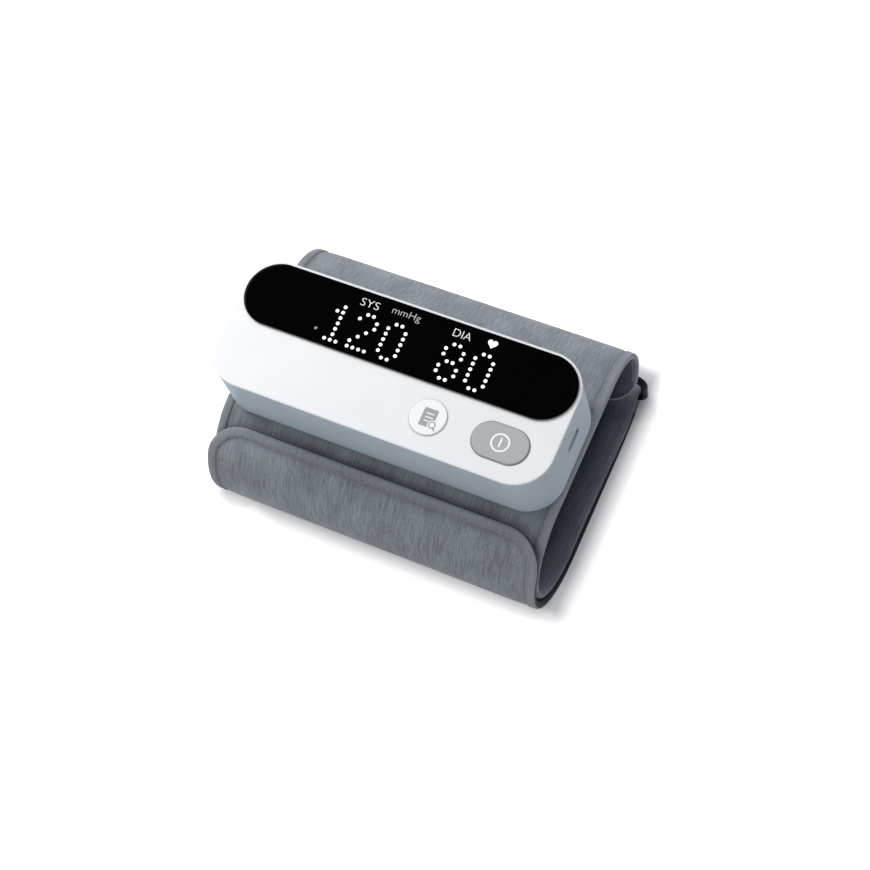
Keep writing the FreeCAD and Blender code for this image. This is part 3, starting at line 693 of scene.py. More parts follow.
# %% Where a flat piece needs a row, and how it is wound
def rows(moves, start, end, spacing, turn=4.0):
    """Places along a route, close together where it bends."""
    places = [start]
    at = 0.0
    for move in moves:
        long = length_of(move)
        steps = math.ceil(long / spacing)
        if len(move) == 2:
            steps = max(steps, math.ceil(abs(move[1]) / turn))
        places += [at + long * i / steps for i in range(1, steps + 1)]
        at += long
    inside = [p for p in places if start + tiny < p < end - tiny]
    return [start] + inside + [end]


ease_in = 40 * MM           # along which the loop gets narrower
gather_reach = 18 * MM      # how far from the D-ring the cloth is gathered


def wind(piece, route, lowest=0.0):
    """Bends a flat piece along a route, and keeps its flat place for the pattern of its cloth.

    The loop is drawn in a little where it goes round the arm, gathered at the D-ring, and lies a little
    askew. Nothing sinks below the table: what would is pressed flat.
    """
    flat = points_of(piece)
    cut = piece.data.attributes.new("cut", "FLOAT_VECTOR", "POINT")
    cut.data.foreach_set("vector", flat.ravel())
    modified(piece, "CURVE", object=route, deform_axis="POS_X")
    along = flat[:, 1]
    share = np.clip(along / ease_in, 0, 1) * np.clip((rise_start - along) / ease_in, 0, 1)
    near_ring = np.clip(1 - np.abs(along - fold_at) / gather_reach, 0, 1)
    points = points_of(piece)
    points[:, 0] *= 1 - drawn_in * share - gathered_in * near_ring
    points[:, 0] += cuff_shift + cuff_slant * points[:, 1]
    points[:, 2] = np.maximum(points[:, 2], lowest)
    move_points(piece, points)
    return piece


def edge_distance(x, y, end, corner):
    """How far a flat point is inside the strip's edge, whose corners are round at one end."""
    side = half_width - abs(x)
    tip = abs(end - y)
    if side < corner and tip < corner:
        return corner - math.hypot(corner - side, corner - tip)
    return min(side, tip)


seam_shade = 0.9 * MM       # how fast the painted shade in the groove of the seam fades


def mark_seam(piece, depth_from_seam):
    """Keeps how near each corner of a flat piece is to the seam, for the shade painted in its groove."""
    depths = [max(0.0, depth_from_seam(float(x), float(y))) for x, y, _ in points_of(piece)]
    seam = piece.data.attributes.new("seam", "FLOAT", "POINT")
    seam.data.foreach_set("value", [math.exp(-depth / seam_shade) for depth in depths])


# %% [markdown]
# ### The cloth
# The strip is cloth on both sides of a thin foam. It is made as a grid whose rows lie where the route bends,
# with its end rounded by narrowing the last rows, and given its thickness by Solidify. Real cloth is never
# quite even: it is drawn in along the seam, swells behind it and puckers between the stitches. Those moves
# are a fraction of a millimetre, so a formula makes them, where a cloth simulation would take minutes.

# %% Cloth of the cuff
tape_w = 4.05 * MM
tape_cover = 2.0 * MM       # the cloth goes on this far under the tape
cloth_low = 0.2 * MM
cloth_t = 2.2 * MM
cloth_grid_step = 1.5 * MM
cloth_lowest = 0.06 * MM    # the cloth lies this far above the table, on its tape
tape_lowest = 0.03 * MM
groove = 0.27 * MM          # how deep the seam draws the cloth in
swell_h = 0.48 * MM         # how far it rises again behind the seam
swell_run = 1.8 * MM        # and how soon
sag_h = 0.1 * MM            # slow waves all over
pucker_h = 0.11 * MM        # short ones near the stitches
pucker_run = 4.5 * MM


def cloth_grid(name, places, half, end, corner, spacing):
    """A flat grid with a row at each place and round corners at one end."""
    columns = round(2 * half / spacing)
    bpy.ops.mesh.primitive_grid_add(x_subdivisions=columns, y_subdivisions=len(places) - 1, size=1)
    piece = called(name)
    points = points_of(piece)
    row = np.rint((points[:, 1] + 0.5) * (len(places) - 1)).astype(int)
    points[:, 1] = np.array(places)[row]
    tip = np.abs(end - points[:, 1])
    inward = corner - np.sqrt(np.maximum(0, corner ** 2 - np.maximum(0, corner - tip) ** 2))
    points[:, 0] = points[:, 0] * 2 * (half - inward)
    points[:, 2] = 0
    move_points(piece, points)
    return piece


def swell(x, y, end, corner, seed):
    """How far the cloth stands above its seam, in metres."""
    inside = edge_distance(x, y, end, corner) - tape_w
    if inside < 0:
        return -groove
    puffed = 1 - math.exp(-inside / swell_run)
    sag = noise.noise(Vector((x / (16 * MM), y / (19 * MM), seed)))
    pucker = noise.noise(Vector((x / (3.2 * MM), y / (3.2 * MM), seed + 7)))
    near = math.exp(-inside / pucker_run)
    return (swell_h + sag_h * sag) * puffed + pucker_h * pucker * near - groove


def make_cloth(name, start, end, corner):
    """A flat piece of the cuff from start to end, whose corners are round at end."""
    tip = end + math.copysign(tape_cover, start - end)
    places = rows(CUFF_MOVES, *sorted((start, tip)), cloth_grid_step)
    piece = cloth_grid(name, places, half_width - tape_cover, tip, corner - tape_cover, cloth_grid_step)
    moved(piece, (0, 0, cloth_low))
    thickened(piece, cloth_t)
    points = points_of(piece)
    middle = cloth_low + cloth_t / 2
    for i, (x, y, z) in enumerate(points):
        up = 1 if z > middle else -1
        points[i, 2] = z + up * swell(float(x), float(y), end, corner, 3.0 + up)
    move_points(piece, points)
    mark_seam(piece, lambda x, y: edge_distance(x, y, end, corner) - tape_w)
    print(name, "is", round(abs(end - start) / MM), "mm long and has", len(piece.data.polygons), "faces")
    return smooth(wind(piece, cuff_route, cloth_lowest), 60)


cuff_loop = make_cloth("cuff_loop_cloth", seam_at, 0.0, curl_corner)
cuff_wrap = make_cloth("cuff_wrap_cloth", seam_at, flap_end, flap_corner)

# %% [markdown]
# ### The edge tape
# A tape is folded over the raw edge and sewn down, so the cuff ends in a soft round border. It starts as the
# outline of the strip: a plane whose corners are bevelled round. An inset leaves a border of even width, the
# middle is deleted, and the border is cut where it will bend, extruded to the cuff's thickness and rounded.

# %% From an outline to a body
def slice_and_extrude(places, thick):
    """Cuts the piece that is open for editing across at each place, makes it thick and closes it."""
    for y in places:
        bpy.ops.mesh.select_all(action="SELECT")
        bpy.ops.mesh.bisect(plane_co=(0, y, 0), plane_no=(0, 1, 0))
    bpy.ops.mesh.select_all(action="SELECT")
    bpy.ops.mesh.extrude_region_move(TRANSFORM_OT_translate={"value": (0, 0, thick)})
    done(outwards=True)


# %% Edge tape
tape_bend_step = 9 * MM
tape_rim_r = 1.15 * MM      # how round the outer edge is
tape_inner_r = 0.8 * MM


def make_tape(name, start, end, corner):
    """The border of a strip from start round its end and back."""
    beyond = start + math.copysign(4 * tape_w, start - end)
    piece = flat_plane(name, (0, (beyond + end) / 2, 0), 2 * half_width, abs(beyond - end))
    pick(piece, "VERT", lambda co: abs(co.y - end) < tiny)
    bpy.ops.mesh.bevel(offset=corner, segments=14, affect="VERTICES")
    bpy.ops.mesh.select_all(action="SELECT")
    bpy.ops.mesh.inset(thickness=tape_w)
    done()
    pick(piece, "FACE", lambda co, normal: edge_distance(co.x, co.y, end, corner) > 2 * tape_w)
    bpy.ops.mesh.delete(type="FACE")
    bpy.ops.mesh.select_all(action="SELECT")
    towards = math.copysign(1, end - start)
    bpy.ops.mesh.bisect(plane_co=(0, start, 0), plane_no=(0, towards, 0), clear_inner=True)
    turn = end - towards * corner
    straight = rows(CUFF_MOVES, *sorted((start, turn)), tape_bend_step)[1:-1]
    slice_and_extrude(straight + [turn], band)

    def along(first, second, inside):
        """True for an edge that runs along the border, this far inside it, on one of its two faces."""
        if abs(first.z - second.z) > tiny:
            return False
        return all(abs(edge_distance(p.x, p.y, end, corner) - inside) < tiny for p in (first, second))

    pick(piece, "EDGE", lambda first, second: along(first, second, 0.0))
    bpy.ops.mesh.bevel(offset=tape_rim_r, segments=4, affect="EDGES")
    done()
    pick(piece, "EDGE", lambda first, second: along(first, second, tape_w))
    bpy.ops.mesh.bevel(offset=tape_inner_r, segments=3, affect="EDGES")
    done(outwards=True)
    mark_seam(piece, lambda x, y: tape_w - edge_distance(x, y, end, corner))
    print(name, "has", len(piece.data.polygons), "faces")
    return smooth(wind(piece, cuff_route, tape_lowest), 60)


loop_tape = make_tape("cuff_loop_tape", seam_at, 0.0, curl_corner)
wrap_tape = make_tape("cuff_wrap_tape", seam_at, flap_end, flap_corner)

# %% [markdown]
# ### The stitches
# One stitch is a short, flattened bead of thread. An Array modifier repeats it, a first Curve modifier lays
# the row along the seam on the flat strip, and the cuff's own route winds it with the rest.

# %% Stitches
stitch_pitch = 3.0 * MM
stitch_length = 2.2 * MM
stitch_half = (0.11 * MM, 0.22 * MM)        # half its height and half its width
seam_inside = 3.2 * MM      # from the cuff's edge


def draw_seam(name, start, end, corner):
    """The line of the seam on the flat strip."""
    towards = math.copysign(1, end - start)
    radius = corner - seam_inside
    turn = end - towards * corner
    side = half_width - seam_inside
    points = [(side, start)]
    for degrees in range(0, 91, 5):
        angle = math.radians(degrees)
        points.append((side - radius * (1 - math.cos(angle)), turn + towards * radius * math.sin(angle)))
    points += [(-x, y) for x, y in reversed(points)]
    return draw_line(name, points)


def make_stitches(name, start, end, corner):
    """The row of stitches on both faces of the strip."""
    seam = draw_seam(name + "_line", start, end, corner)
    bpy.ops.mesh.primitive_uv_sphere_add(segments=8, ring_count=6, radius=1, rotation=(0, math.pi / 2, 0))
    bpy.context.object.scale = (*stitch_half, stitch_length / 2)
    stitch = called(name)
    corners_each = len(stitch.data.vertices)
    moved(stitch, (stitch_pitch / 2, 0, 0))
    line = [point.co for point in seam.data.splines[0].points]
    long = sum((b - a).length for a, b in zip(line, line[1:]))
    modified(stitch, "ARRAY", count=math.floor(long / stitch_pitch), use_relative_offset=False,
             use_constant_offset=True, constant_offset_displace=(stitch_pitch, 0, 0))
    modified(stitch, "CURVE", object=seam, deform_axis="POS_X")
    pick(stitch, "VERT", lambda co: True)
    bpy.ops.mesh.duplicate_move(TRANSFORM_OT_translate={"value": (0, 0, band)})
    done()
    print(name, "has", len(stitch.data.vertices) // corners_each, "stitches")
    return smooth(wind(stitch, cuff_route), 60)


loop_stitches = make_stitches("cuff_loop_stitches", seam_at, 0.0, curl_corner)
wrap_stitches = make_stitches("cuff_wrap_stitches", seam_at, flap_end, flap_corner)

# %% [markdown]
# ### Lining, and the tapes that close the cuff
# The lining covers the air bladder on the arm's side. It is sewn down near the edges and lifted by the
# bladder in between, so it is a flat grid whose middle is raised. The hook tape and the loop tape are cut
# with round corners, from a plane that is bevelled, sliced where it bends and extruded.

# %% Lining
lining_t = 0.7 * MM
lining_margin = 2.2 * MM
bladder_lift = 1.1 * MM
lift_run = 5.3 * MM         # the lining rises to the bladder within this length
bladder_end = bend_start + loop_r * math.radians(120) + 10 * MM     # near the end of the front bend
lining_end = fold_start - 1 * MM
lining_step = 2 * MM
lining_gap = 0.03 * MM      # between the lining and the cloth
lining_wave = 0.12 * MM
lining_taper = 8 * MM       # the last stretch, in which it gets thin
thinnest = 0.05             # the share of its thickness that is left at its end


def make_lining():
    margin = lining_margin
    places = rows(CUFF_MOVES, margin, lining_end, lining_step)
    half = half_width - margin
    piece = cloth_grid("lining_cloth", places, half, margin, curl_corner - margin, lining_step)
    thickened(piece, lining_t)
    points = points_of(piece)
    for i, (x, y, z) in enumerate(points):
        to_edge = edge_distance(float(x), float(y), 0.0, curl_corner) - margin
        share = min(1.0, max(0.0, min(to_edge, bladder_end - float(y)) / lift_run))
        lift = bladder_lift * share * share * (3 - 2 * share)
        wave = noise.noise(Vector((x / (11 * MM), y / (13 * MM), 31.0))) * lining_wave * share
        thin = min(1.0, thinnest + max(0.0, lining_end - float(y)) / lining_taper)
        points[i, 2] = z * thin + band + lining_gap + lift + wave
    move_points(piece, points)
    return smooth(wind(piece, cuff_route), 60)


lining = make_lining()
print("lining_cloth has", len(lining.data.polygons), "faces")

# %% Hook tape and loop tape
sharp = math.radians(60)    # an edge that turns more than this is rounded
patch_inside = 12 * MM      # from the cuff's edge
patch_low = -0.55 * MM
patch_high = -0.05 * MM


def make_patch(name, start, end, half, low, high, route, moves, corner):
    """A flat tape with four round corners, wound on its route."""
    piece = flat_plane(name, (0, (start + end) / 2, low), 2 * half, end - start)
    pick(piece, "VERT", lambda co: True)
    bpy.ops.mesh.bevel(offset=corner, segments=6, affect="VERTICES")
    slice_and_extrude(rows(moves, start, end, 6 * MM)[1:-1], high - low)
    modified(piece, "BEVEL", width=0.12 * MM, segments=2, limit_method="ANGLE", angle_limit=sharp)
    return smooth(wind(piece, route), 50)


def make_closing_tape(name, bend_at, radius, first, last):
    """Hook tape or loop tape outside a bend, between two angles in degrees."""
    start, end = [bend_at + radius * math.radians(angle) for angle in (first, last)]
    half = half_width - patch_inside
    return make_patch(name, start, end, half, patch_low, patch_high, cuff_route, CUFF_MOVES, 4 * MM)


loop_patch = make_closing_tape("loop_tape_patch", bend_start, loop_r, 34, 144)
hook_patch = make_closing_tape("hook_tape_patch", hinge_at, wrap_r, 8, flap_rise - 14)

# %% [markdown]
# ### The strap that holds the D-ring
# A strap is sewn to the back of the curl, goes down behind the ring's upper bar, round it and up again over
# itself. That is a second route, with an arc for the curl, a tight arc round the bar and a tangent back to
# the curl. Where the tangent starts follows from the two circles.

# %% Strap round the D-ring's bar
ring_angle = 37.0           # degrees below the curl's furthest point back
ring_hole_r = 1.8 * MM
strap_t = 0.7 * MM
strap_lift = 0.3 * MM
strap_down = 4.0            # degrees below the curl's furthest point back where its sewn ends lie
strap_half = half_width - 5 * MM
inner_r = curl_r + strap_lift + strap_t
bar_lift = inner_r - ring_hole_r
bar_r = inner_r + ring_hole_r
tangent_turn = math.degrees(math.asin(bar_lift / bar_r))
tangent = math.sqrt(bar_r ** 2 - bar_lift ** 2)
leave = 180 - ring_angle - tangent_turn       # heading of the tangent
STRAP_MOVES = [(inner_r, strap_down - ring_angle), (ring_hole_r, leave + 90 + ring_angle), (tangent,),
               (inner_r, 90 - leave - strap_down)]
strap_start = point_round(curl_y, curl_z, inner_r, strap_down)
strap_route = draw_route("strap_route", strap_start, -strap_down - 90, STRAP_MOVES)
strap_length = sum(length_of(move) for move in STRAP_MOVES)
ring_strap = make_patch("ring_strap", 0.0, strap_length, strap_half, -strap_t, 0.0, strap_route,
                        STRAP_MOVES, 1 * MM)
print("the strap is", round(strap_length / MM, 1), "mm long when it is flat")

# %% [markdown]
# ## The panel's frame, and painted shadow round the buttons
# The panel sits in a narrow black frame that is wider towards the front, and a thin ring of painted shadow
# goes round each button, where the gap between button and plate lies in shade. Each is an oblong: a circle
# whose halves are pulled apart. An inset takes its middle out, and Solidify and Bevel give it a body.

# %% Frame of the panel, painted shadow round the buttons
def make_rim(name, low, high, width, bottom, top, round_edge):
    """A rim inside an oblong that fills the box from low to high."""
    radius = (high.y - low.y) / 2
    pull = (high.x - low.x) / 2 - radius
    middle = (low + high) / 2
    piece = flat_disc(name, 96, radius)
    for corner in piece.data.vertices:
        side = 0 if abs(corner.co.x) < 0.01 * MM else math.copysign(pull, corner.co.x)
        corner.co += Vector((middle.x + side, middle.y, bottom))
    hollowed(piece, width)
    thickened(piece, top - bottom)
    modified(piece, "BEVEL", width=round_edge, segments=3, limit_method="ANGLE", angle_limit=sharp)
    return smooth(piece, 40)


def grown(box, left, front, right, back):
    """A box, larger by so many millimetres on each side."""
    low, high = box
    return low - Vector((left, front, 0)) * MM, high + Vector((right, back, 0)) * MM


flange = 1.0                # millimetres that a button is wider below the face plate
shadow_ring_gap = 0.04              # millimetres between a button and its ring of painted shadow
shadow_ring_h = 0.03 * MM
shadow_ring_edge = 0.01 * MM        # how round its edges are


def make_gap_shadow_ring(name, node_name, width):
    """A thin ring of painted shadow round the visible part of a button, where the gap lies in shade. Its width is
    in millimetres.
    """
    low, high = grown(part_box(node_name), *[width - flange] * 4)
    return make_rim(name, low, high, (width - shadow_ring_gap) * MM, face_z, face_z + shadow_ring_h, shadow_ring_edge)


frame_low, frame_high = grown(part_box("display_lens"), 0.2, 1.2, 0.45, 0.1)
panel_frame = make_rim("panel_frame", frame_low, frame_high, 2.1 * MM, face_z, lens_z + 0.02 * MM, 0.6 * MM)
start_rim = make_gap_shadow_ring("start_rim", "start_button", 0.42)
memory_rim = make_gap_shadow_ring("memory_rim", "memory_button", 0.3)

# %% [markdown]
# ## What the display shows
# The display is a grid of small round lights behind the dark panel. Each figure is a pattern of dots, four
# wide and seven high, so it can be written down as text, row by row. One dot is modelled and copied to every
# mark in the patterns.

# %% Lit dots
dot_pitch = 2.3 * MM
dot_r = 0.7 * MM
dot_rise = 0.05 * MM
first_dot = Vector((-31.05 * MM, -1.35 * MM, lens_z))
small_dot_r = 0.55 * MM
small_dot_at = Vector((-33.4 * MM, 1.2 * MM, lens_z))
FIGURES = {
    "1": "..#. .##. ..#. ..#. ..#. ..#. .###",
    "2": ".##. #..# ...# ..#. .#.. #... ####",
    "8": ".##. #..# #..# .##. #..# #..# .##.",
    "0": ".##. #..# #..# #..# #..# #..# .##.",
}
SHOWN = "120 80"


def make_dot(name, radius):
    """One light: a disc with a soft rim, at the origin."""
    dot = flat_disc(name, 20, radius)
    pick(dot, "FACE", lambda co, normal: True)
    bpy.ops.mesh.extrude_region_move(TRANSFORM_OT_translate={"value": (0, 0, dot_rise * 0.6)})
    bpy.ops.mesh.inset(thickness=radius * 0.25, depth=dot_rise * 0.4)
    done(outwards=True)
    return dot


def copied(piece, places, name):
    """Copies of one piece at every place, joined under a name."""
    copies = []
    for place in places:
        copy = piece.copy()
        copy.data = piece.data.copy()
        copy.location = place
        bpy.context.scene.collection.objects.link(copy)
        copies.append(copy)
    bpy.data.objects.remove(piece)
    return joined(copies, name)


dot_places = []
for number, figure in enumerate(SHOWN):
    for row, line in enumerate(FIGURES.get(figure, "").split()):
        for column, mark in enumerate(line):
            if mark == "#":
                step = Vector((number * 5 + column, 6 - row, 0))
                dot_places.append(first_dot + step * dot_pitch)
lit_figures = copied(make_dot("dot", dot_r), dot_places, "lit_figures")
ready_light = copied(make_dot("small_dot", small_dot_r), [small_dot_at], "ready_light")
print(len(dot_places), "dots are lit")

# %% [markdown]
# ### Unit marks and the heart
# The marks that name the two readings are text, made a mesh and given a hair of thickness. The heart is one
# closed outline from a formula, filled.

# %% Marks on the panel
stroke_offset = -0.012      # thins the strokes
font_capital = 0.729        # height of the font's capitals


def make_text(name, words, left, bottom, cap, width):
    """Flat lettering, fitted to the height of its capitals and to its width."""
    bpy.ops.object.text_add()
    bpy.context.object.data.body = words
    bpy.context.object.data.offset = stroke_offset
    bpy.ops.object.convert(target="MESH")
    piece = called(name)
    points = points_of(piece)
    low, high = points.min(0), points.max(0)
    points[:, 0] = left + (points[:, 0] - low[0]) * width / (high[0] - low[0])
    points[:, 1] = bottom + points[:, 1] * cap / font_capital
    points[:, 2] = lens_z
    move_points(piece, points)
    return thickened(piece, dot_rise)


def make_heart(name, centre, width):
    """A heart, as one filled outline. The formula's own heart is 32 wide, and 2.5 too low."""
    piece = flat_disc(name, 40, 1)
    for corner in piece.data.vertices:
        t = math.atan2(corner.co.x, corner.co.y)
        across = 16 * math.sin(t) ** 3
        upward = 13 * math.cos(t) - 5 * math.cos(2 * t) - 2 * math.cos(3 * t) - math.cos(4 * t)
        corner.co = Vector((across, upward + 2.5, 0)) * (width / 32) + centre
    return thickened(piece, dot_rise)


upper_mark = make_text("upper_reading_mark", "SYS", -22.0 * MM, 15.2 * MM, 3.3 * MM, 7.3 * MM)
lower_mark = make_text("lower_reading_mark", "DIA", 15.0 * MM, 15.4 * MM, 3.3 * MM, 7.0 * MM)
unit_mark = make_text("unit_mark", "mmHg", -9.5 * MM, 16.2 * MM, 2.9 * MM, 11.2 * MM)
pulse_mark = make_heart("pulse_mark", Vector((30.1 * MM, 17.0 * MM, lens_z)), 3.8 * MM)

# %% [markdown]
# ### Marks on the buttons
# The start button carries a ring with a bar, the memory button a page with a magnifier. They are printed, so
# each is a very thin plate that lies on its button and moves with it.

# %% Marks on the buttons
ink = 0.03 * MM


def make_ring(name, centre, radius, stroke):
    """A flat ring."""
    piece = flat_disc(name, 64, radius + stroke / 2, centre)
    hollowed(piece, stroke)
    return thickened(piece, ink)


def make_plate(name, centre, length, width, corner, steps=4, turn=0.0):
    """A flat plate with round corners."""
    piece = flat_plane(name, centre, length, width, turn)
    pick(piece, "VERT", lambda co: True)
    bpy.ops.mesh.bevel(offset=corner, segments=steps, affect="VERTICES")
    done()
    return thickened(piece, ink)


def make_bar(name, start, end, width):
    """A flat bar between two points, with round ends."""
    way = end - start
    nearly_half = width * 0.499
    return make_plate(name, (start + end) / 2, way.length, width, nearly_half, 5, math.atan2(way.y, way.x))


def cut_away(piece, cutter):
    """Cuts a flat shape out of a plate. The shape is made thicker first, so that no two faces coincide."""
    pick(cutter, "VERT", lambda co: True)
    middle = sum((v.co for v in cutter.data.vertices), Vector()) / len(cutter.data.vertices)
    bpy.ops.transform.resize(value=(1, 1, 3), center_override=middle)
    done()
    modified(piece, "BOOLEAN", operation="DIFFERENCE", object=cutter, solver="EXACT")
    bpy.data.objects.remove(cutter)


def on_button(centre, top, x, y):
    """A point on a button's top, from its middle, in millimetres."""
    return Vector((centre.x + x * MM, centre.y + y * MM, top))


def on_start(x, y):
    return on_button(start_centre, start_high.z, x, y)


def on_memory(x, y):
    return on_button(memory_centre, memory_high.z, x, y)


start_mark = joined([make_ring("ring", on_start(0, 0), 3.2 * MM, 0.62 * MM),
                     make_bar("bar", on_start(0, -1.85), on_start(0, 1.85), 0.6 * MM)], "start_mark")

glass_at = on_memory(2.6, -2.4)
page_mark = make_plate("page_mark", on_memory(0.35, -0.2), 5.3 * MM, 7.0 * MM, 0.3 * MM)
for y, right in ((1.4, 2.0), (-0.1, 2.0), (-1.5, 0.7)):
    cut_away(page_mark, make_bar("line", on_memory(-1.1, y), on_memory(right, y), 0.5 * MM))
cut_away(page_mark, thickened(flat_disc("clear_ring", 48, 1.8 * MM, glass_at), ink))
glass_mark = joined([make_ring("glass", glass_at, 1.15 * MM, 0.42 * MM),
                     make_bar("handle", on_memory(3.3, -3.3), on_memory(4.3, -4.4), 0.5 * MM)], "glass_mark")

# %% [markdown]
# ## Dressing the new pieces, and telling what each one rides on
# Pieces of the loop stay with the unit, and the hook tape turns with the flap. The outer wrap runs on into
# the flap, across its hinge, so it is given no body here and stays where it lies.

# %% Where the cloth is dark
lined_above = 1.3 * MM      # depth in the loop from which its cloth is dark
tape_depth = 2.9 * MM       # a little more than the strip has
backed_below = 1.9 * MM     # depth in the wrap up to which its cloth is dark
tape_dark_at = bend_end + 15 * MM       # from here on the whole tape is dark


def on_arm_side(finish):
    """The side of the loop that touches the arm."""
    return 1 - (finish.through() < lined_above)


def on_arm_face(finish):
    """The tape is light all round at the curl, and dark on its inner face and rim under the arm."""
    along = finish.part(finish.flat((1, 1 / tape_dark_at, 1)), "Y")
    bend = bend_start / tape_dark_at
    light = finish.ramp(along, (0.05, grey(0.85)), (0.08, WHITE), (bend * 0.9, WHITE), (bend, grey(0.4)),
                        (0.9, grey(0.3)), (1.0, BLACK))
    return 1 - (finish.through() < light * tape_depth)


def under_wrap(finish):
    """The side of the wrap that lies on the loop."""
    return finish.through() < backed_below


def throughout(_):
    return 1.0


# %% Finishes and bodies of the cuff
THREAD = shade(0.19, 0.205, 0.23)

# where the loop's cloth and tape are lining, they carry the lining's painted light and shade
loop_cloth = cloth("loop_cloth", GREY_CLOTH, *GREY_WEAVE, on_arm_side)
loop_edge = cloth("loop_edge_tape", TAPE_CLOTH, *TAPE_WEAVE, on_arm_face)
# the lining piece, with the lining's painted light and shade
worn_lining = cloth("worn_lining", LINING, *LINING_WEAVE, throughout, fuzz=0.03)
dressed(cuff_loop, loop_cloth, "monitor")
dressed(loop_tape, loop_edge, "monitor")
dressed(loop_stitches, thread("loop_thread", THREAD, on_arm_side), "monitor")
dressed(lining, worn_lining, "monitor")
dressed(loop_patch, FINISHES["hook_and_loop"], "monitor")
dressed(hook_patch, pile("hook_tape", shade(0.03, 0.03, 0.034), 0.8 * MM, 0.3 * MM), "flap")
dressed(ring_strap, FINISHES["webbing"], "monitor")

wrap_cloth = cloth("wrap_cloth", GREY_CLOTH, *GREY_WEAVE, under_wrap, BACKING)
wrap_edge = cloth("wrap_edge_tape", TAPE_CLOTH, *TAPE_WEAVE, under_wrap, BACKING)
for piece, finish, slot in ((cuff_wrap, wrap_cloth, "cuff_fabric"),
                            (wrap_tape, wrap_edge, "binding"),
                            (wrap_stitches, thread("wrap_thread", THREAD, under_wrap), "binding")):
    dressed(piece, finish, None)
    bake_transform(piece)

# %% Finishes and bodies of what is on the face
white_light = lit("white_light", WHITE)
soft_light = lit("soft_light", shade(0.66, 0.67, 0.69))
for piece, light in ((lit_figures, white_light),
                     (pulse_mark, white_light),
                     (upper_mark, soft_light),
                     (lower_mark, soft_light),
                     (unit_mark, lit("faint_light", shade(0.4, 0.41, 0.43))),
                     (ready_light, lit("green_light", shade(0.16, 0.3, 0.18)))):
    dressed(piece, light, "monitor")
dressed(panel_frame, FINISHES["panel_black"], "monitor")
# the shaded gaps round the buttons are painted as grey rings
dressed(start_rim, printed("rim_grey", shade(0.25, 0.26, 0.27)), "monitor")
dressed(memory_rim, printed("rim_pale", shade(0.48, 0.49, 0.5)), "monitor")
dressed(start_mark, printed("white_ink", shade(0.88, 0.89, 0.9)), "start_button")
grey_ink = printed("grey_ink", shade(0.32, 0.325, 0.335))
dressed(page_mark, grey_ink, "memory_button")
dressed(glass_mark, grey_ink, "memory_button")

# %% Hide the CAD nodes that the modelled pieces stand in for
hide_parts("cuff_band")
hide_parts("outer_flap")
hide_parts("edge_binding")
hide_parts("flap_binding")
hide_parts("cuff_lining")
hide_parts("loop_patch")
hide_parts("hook_patch")
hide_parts("ring_loop")

# %% [markdown]
# ## Floor and light
# The object stands on a pale floor under three large soft lamps. The key lamp is on the left, and weaker
# ones stand behind and in front, so that the walls of the unit keep their shape. The background is white
# because the floor is, not because the lamps are strong: for the camera alone, the floor adds a little light
# of its own, and less of it close to the foot of the cuff, which paints a soft contact shadow round the foot.
# Two more spots of shadow are painted into the floor's colour, at the right back and at the left front.

# %% Floor
FLOOR_LOW = shade(0.79, 0.79, 0.8)
FLOOR_HIGH = shade(0.8, 0.8, 0.81)
PAINTED_SHADOW = shade(0.42, 0.42, 0.43)       # painted shadow on the floor, near two corners of the cuff
floor_glow = 0.68
foot_middle = (-1.4 * MM, 7.6 * MM)     # the oblong round the cuff's foot, about which a contact shadow is painted
foot_half = (72.4 * MM, 52.4 * MM)
foot_slant = 0.008
foot_shade = 8.0 * MM                   # how far that painted shadow reaches
# two spots of painted shadow: how far each reaches, and where each lies
painted_shadow_reach = 14 * MM
painted_shadow_spots = ((66 * MM, 50 * MM), (-68 * MM, -46 * MM))
bpy.ops.mesh.primitive_plane_add(size=6)
floor = called("floor")
floor_finish = Finish("floor_paint")
floor_tint = floor_finish.ramp(floor_finish.even_grain(25 * MM), (0.3, FLOOR_LOW), (0.7, FLOOR_HIGH))
beside, before = floor_finish.parts(floor_finish.place((1, 1, 1)))
# shadow is painted into the floor's colour at each spot
for x, y in painted_shadow_spots:
    from_painted_shadow = ((beside - x) ** 2.0 + (before - y) ** 2.0) ** 0.5
    in_painted_shadow = floor_finish.fade(from_painted_shadow * (1 / painted_shadow_reach), 0.4)
    floor_tint = floor_finish.mix(in_painted_shadow, floor_tint, PAINTED_SHADOW)
past_side = (abs(beside - foot_middle[0]) - foot_half[0]).at_least(0.0)
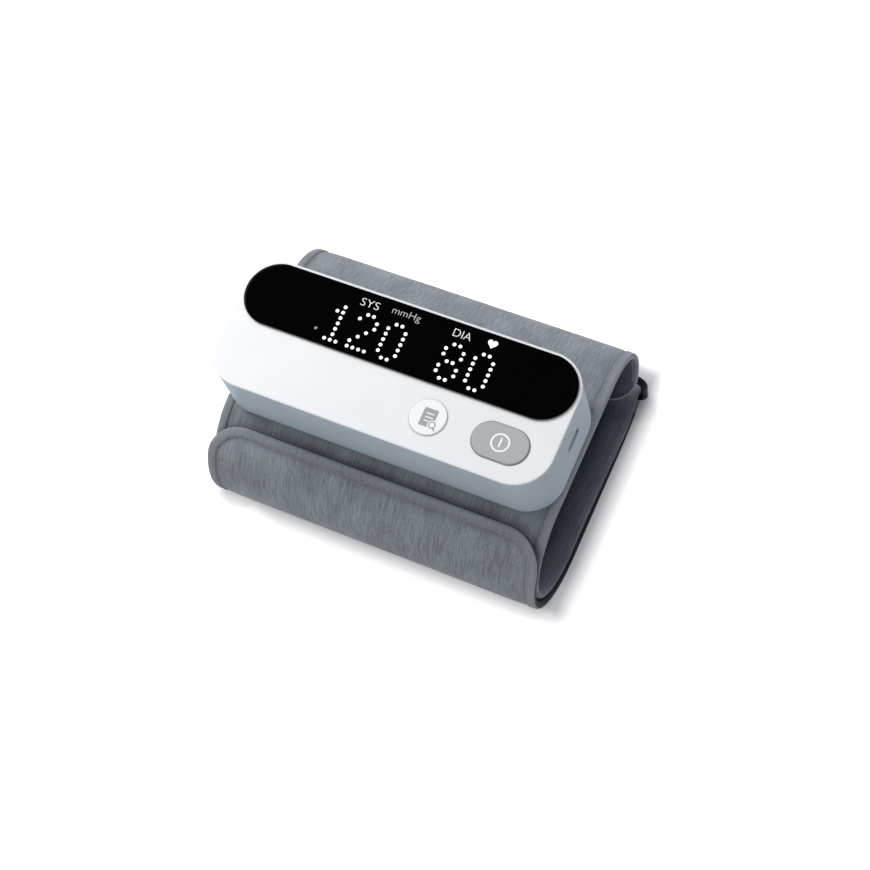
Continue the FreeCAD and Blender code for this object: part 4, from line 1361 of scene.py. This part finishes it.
past_end = (abs(before - beside * foot_slant - foot_middle[1]) - foot_half[1]).at_least(0.0)
away = (past_side * past_side + past_end * past_end) ** 0.5
# the glow fades out towards the foot, which paints the contact shadow
glow_past_painted_shadow = floor_finish.ramp(away * (1 / foot_shade), (0.0, BLACK), (1.0, WHITE))
paint = floor_finish.node("ShaderNodeBsdfDiffuse", None, {"Color": floor_tint})
glow = floor_finish.node("ShaderNodeEmission", None, {"Color": glow_past_painted_shadow, "Strength": floor_glow})
both = floor_finish.node("ShaderNodeAddShader", None, {0: paint, 1: glow})
rays = floor_finish.node("ShaderNodeLightPath", output="Is Camera Ray")
seen = floor_finish.node("ShaderNodeMixShader", None, {0: rays, 1: paint, 2: both})
floor_finish.node("ShaderNodeOutputMaterial", None, {"Surface": seen})
floor.data.materials.append(floor_finish.material)

# %% Lamps and world
LAMPS = (("key", (-0.75, 0.3, 0.8), 0.5, 8.2),      # name, place, size and power
         ("back_light", (0.4, 1.1, 0.9), 0.8, 6.0),
         ("front_fill", (-0.3, -1.2, 0.7), 0.9, 5.0))
lamp_aim = Vector((0, 0, 0.05))
for name, place, size, power in LAMPS:
    lamp_data = bpy.data.lights.new(name, "AREA")
    lamp_data.shape = "SQUARE"
    lamp_data.size = size
    lamp_data.energy = power
    lamp = bpy.data.objects.new(name, lamp_data)
    bpy.context.scene.collection.objects.link(lamp)
    lamp.location = place
    lamp.rotation_euler = (lamp_aim - Vector(place)).to_track_quat("-Z", "Y").to_euler()
studio = Finish("studio", bpy.data.worlds)
bpy.context.scene.world = studio.material
soft = studio.node("ShaderNodeBackground", None, {"Color": shade(0.95, 0.97, 1.0), "Strength": 0.45})
white = studio.node("ShaderNodeBackground", None, {"Color": WHITE, "Strength": 1.0})
rays = studio.node("ShaderNodeLightPath", output="Is Camera Ray")
seen = studio.node("ShaderNodeMixShader", None, {0: rays, 1: soft, 2: white})
studio.node("ShaderNodeOutputWorld", None, {"Surface": seen})
bpy.context.scene.view_settings.view_transform = "Standard"

# %% Tidy up: the guide curves go
for guide in [o for o in bpy.data.objects if o.type == "CURVE"]:
    bpy.data.objects.remove(guide)
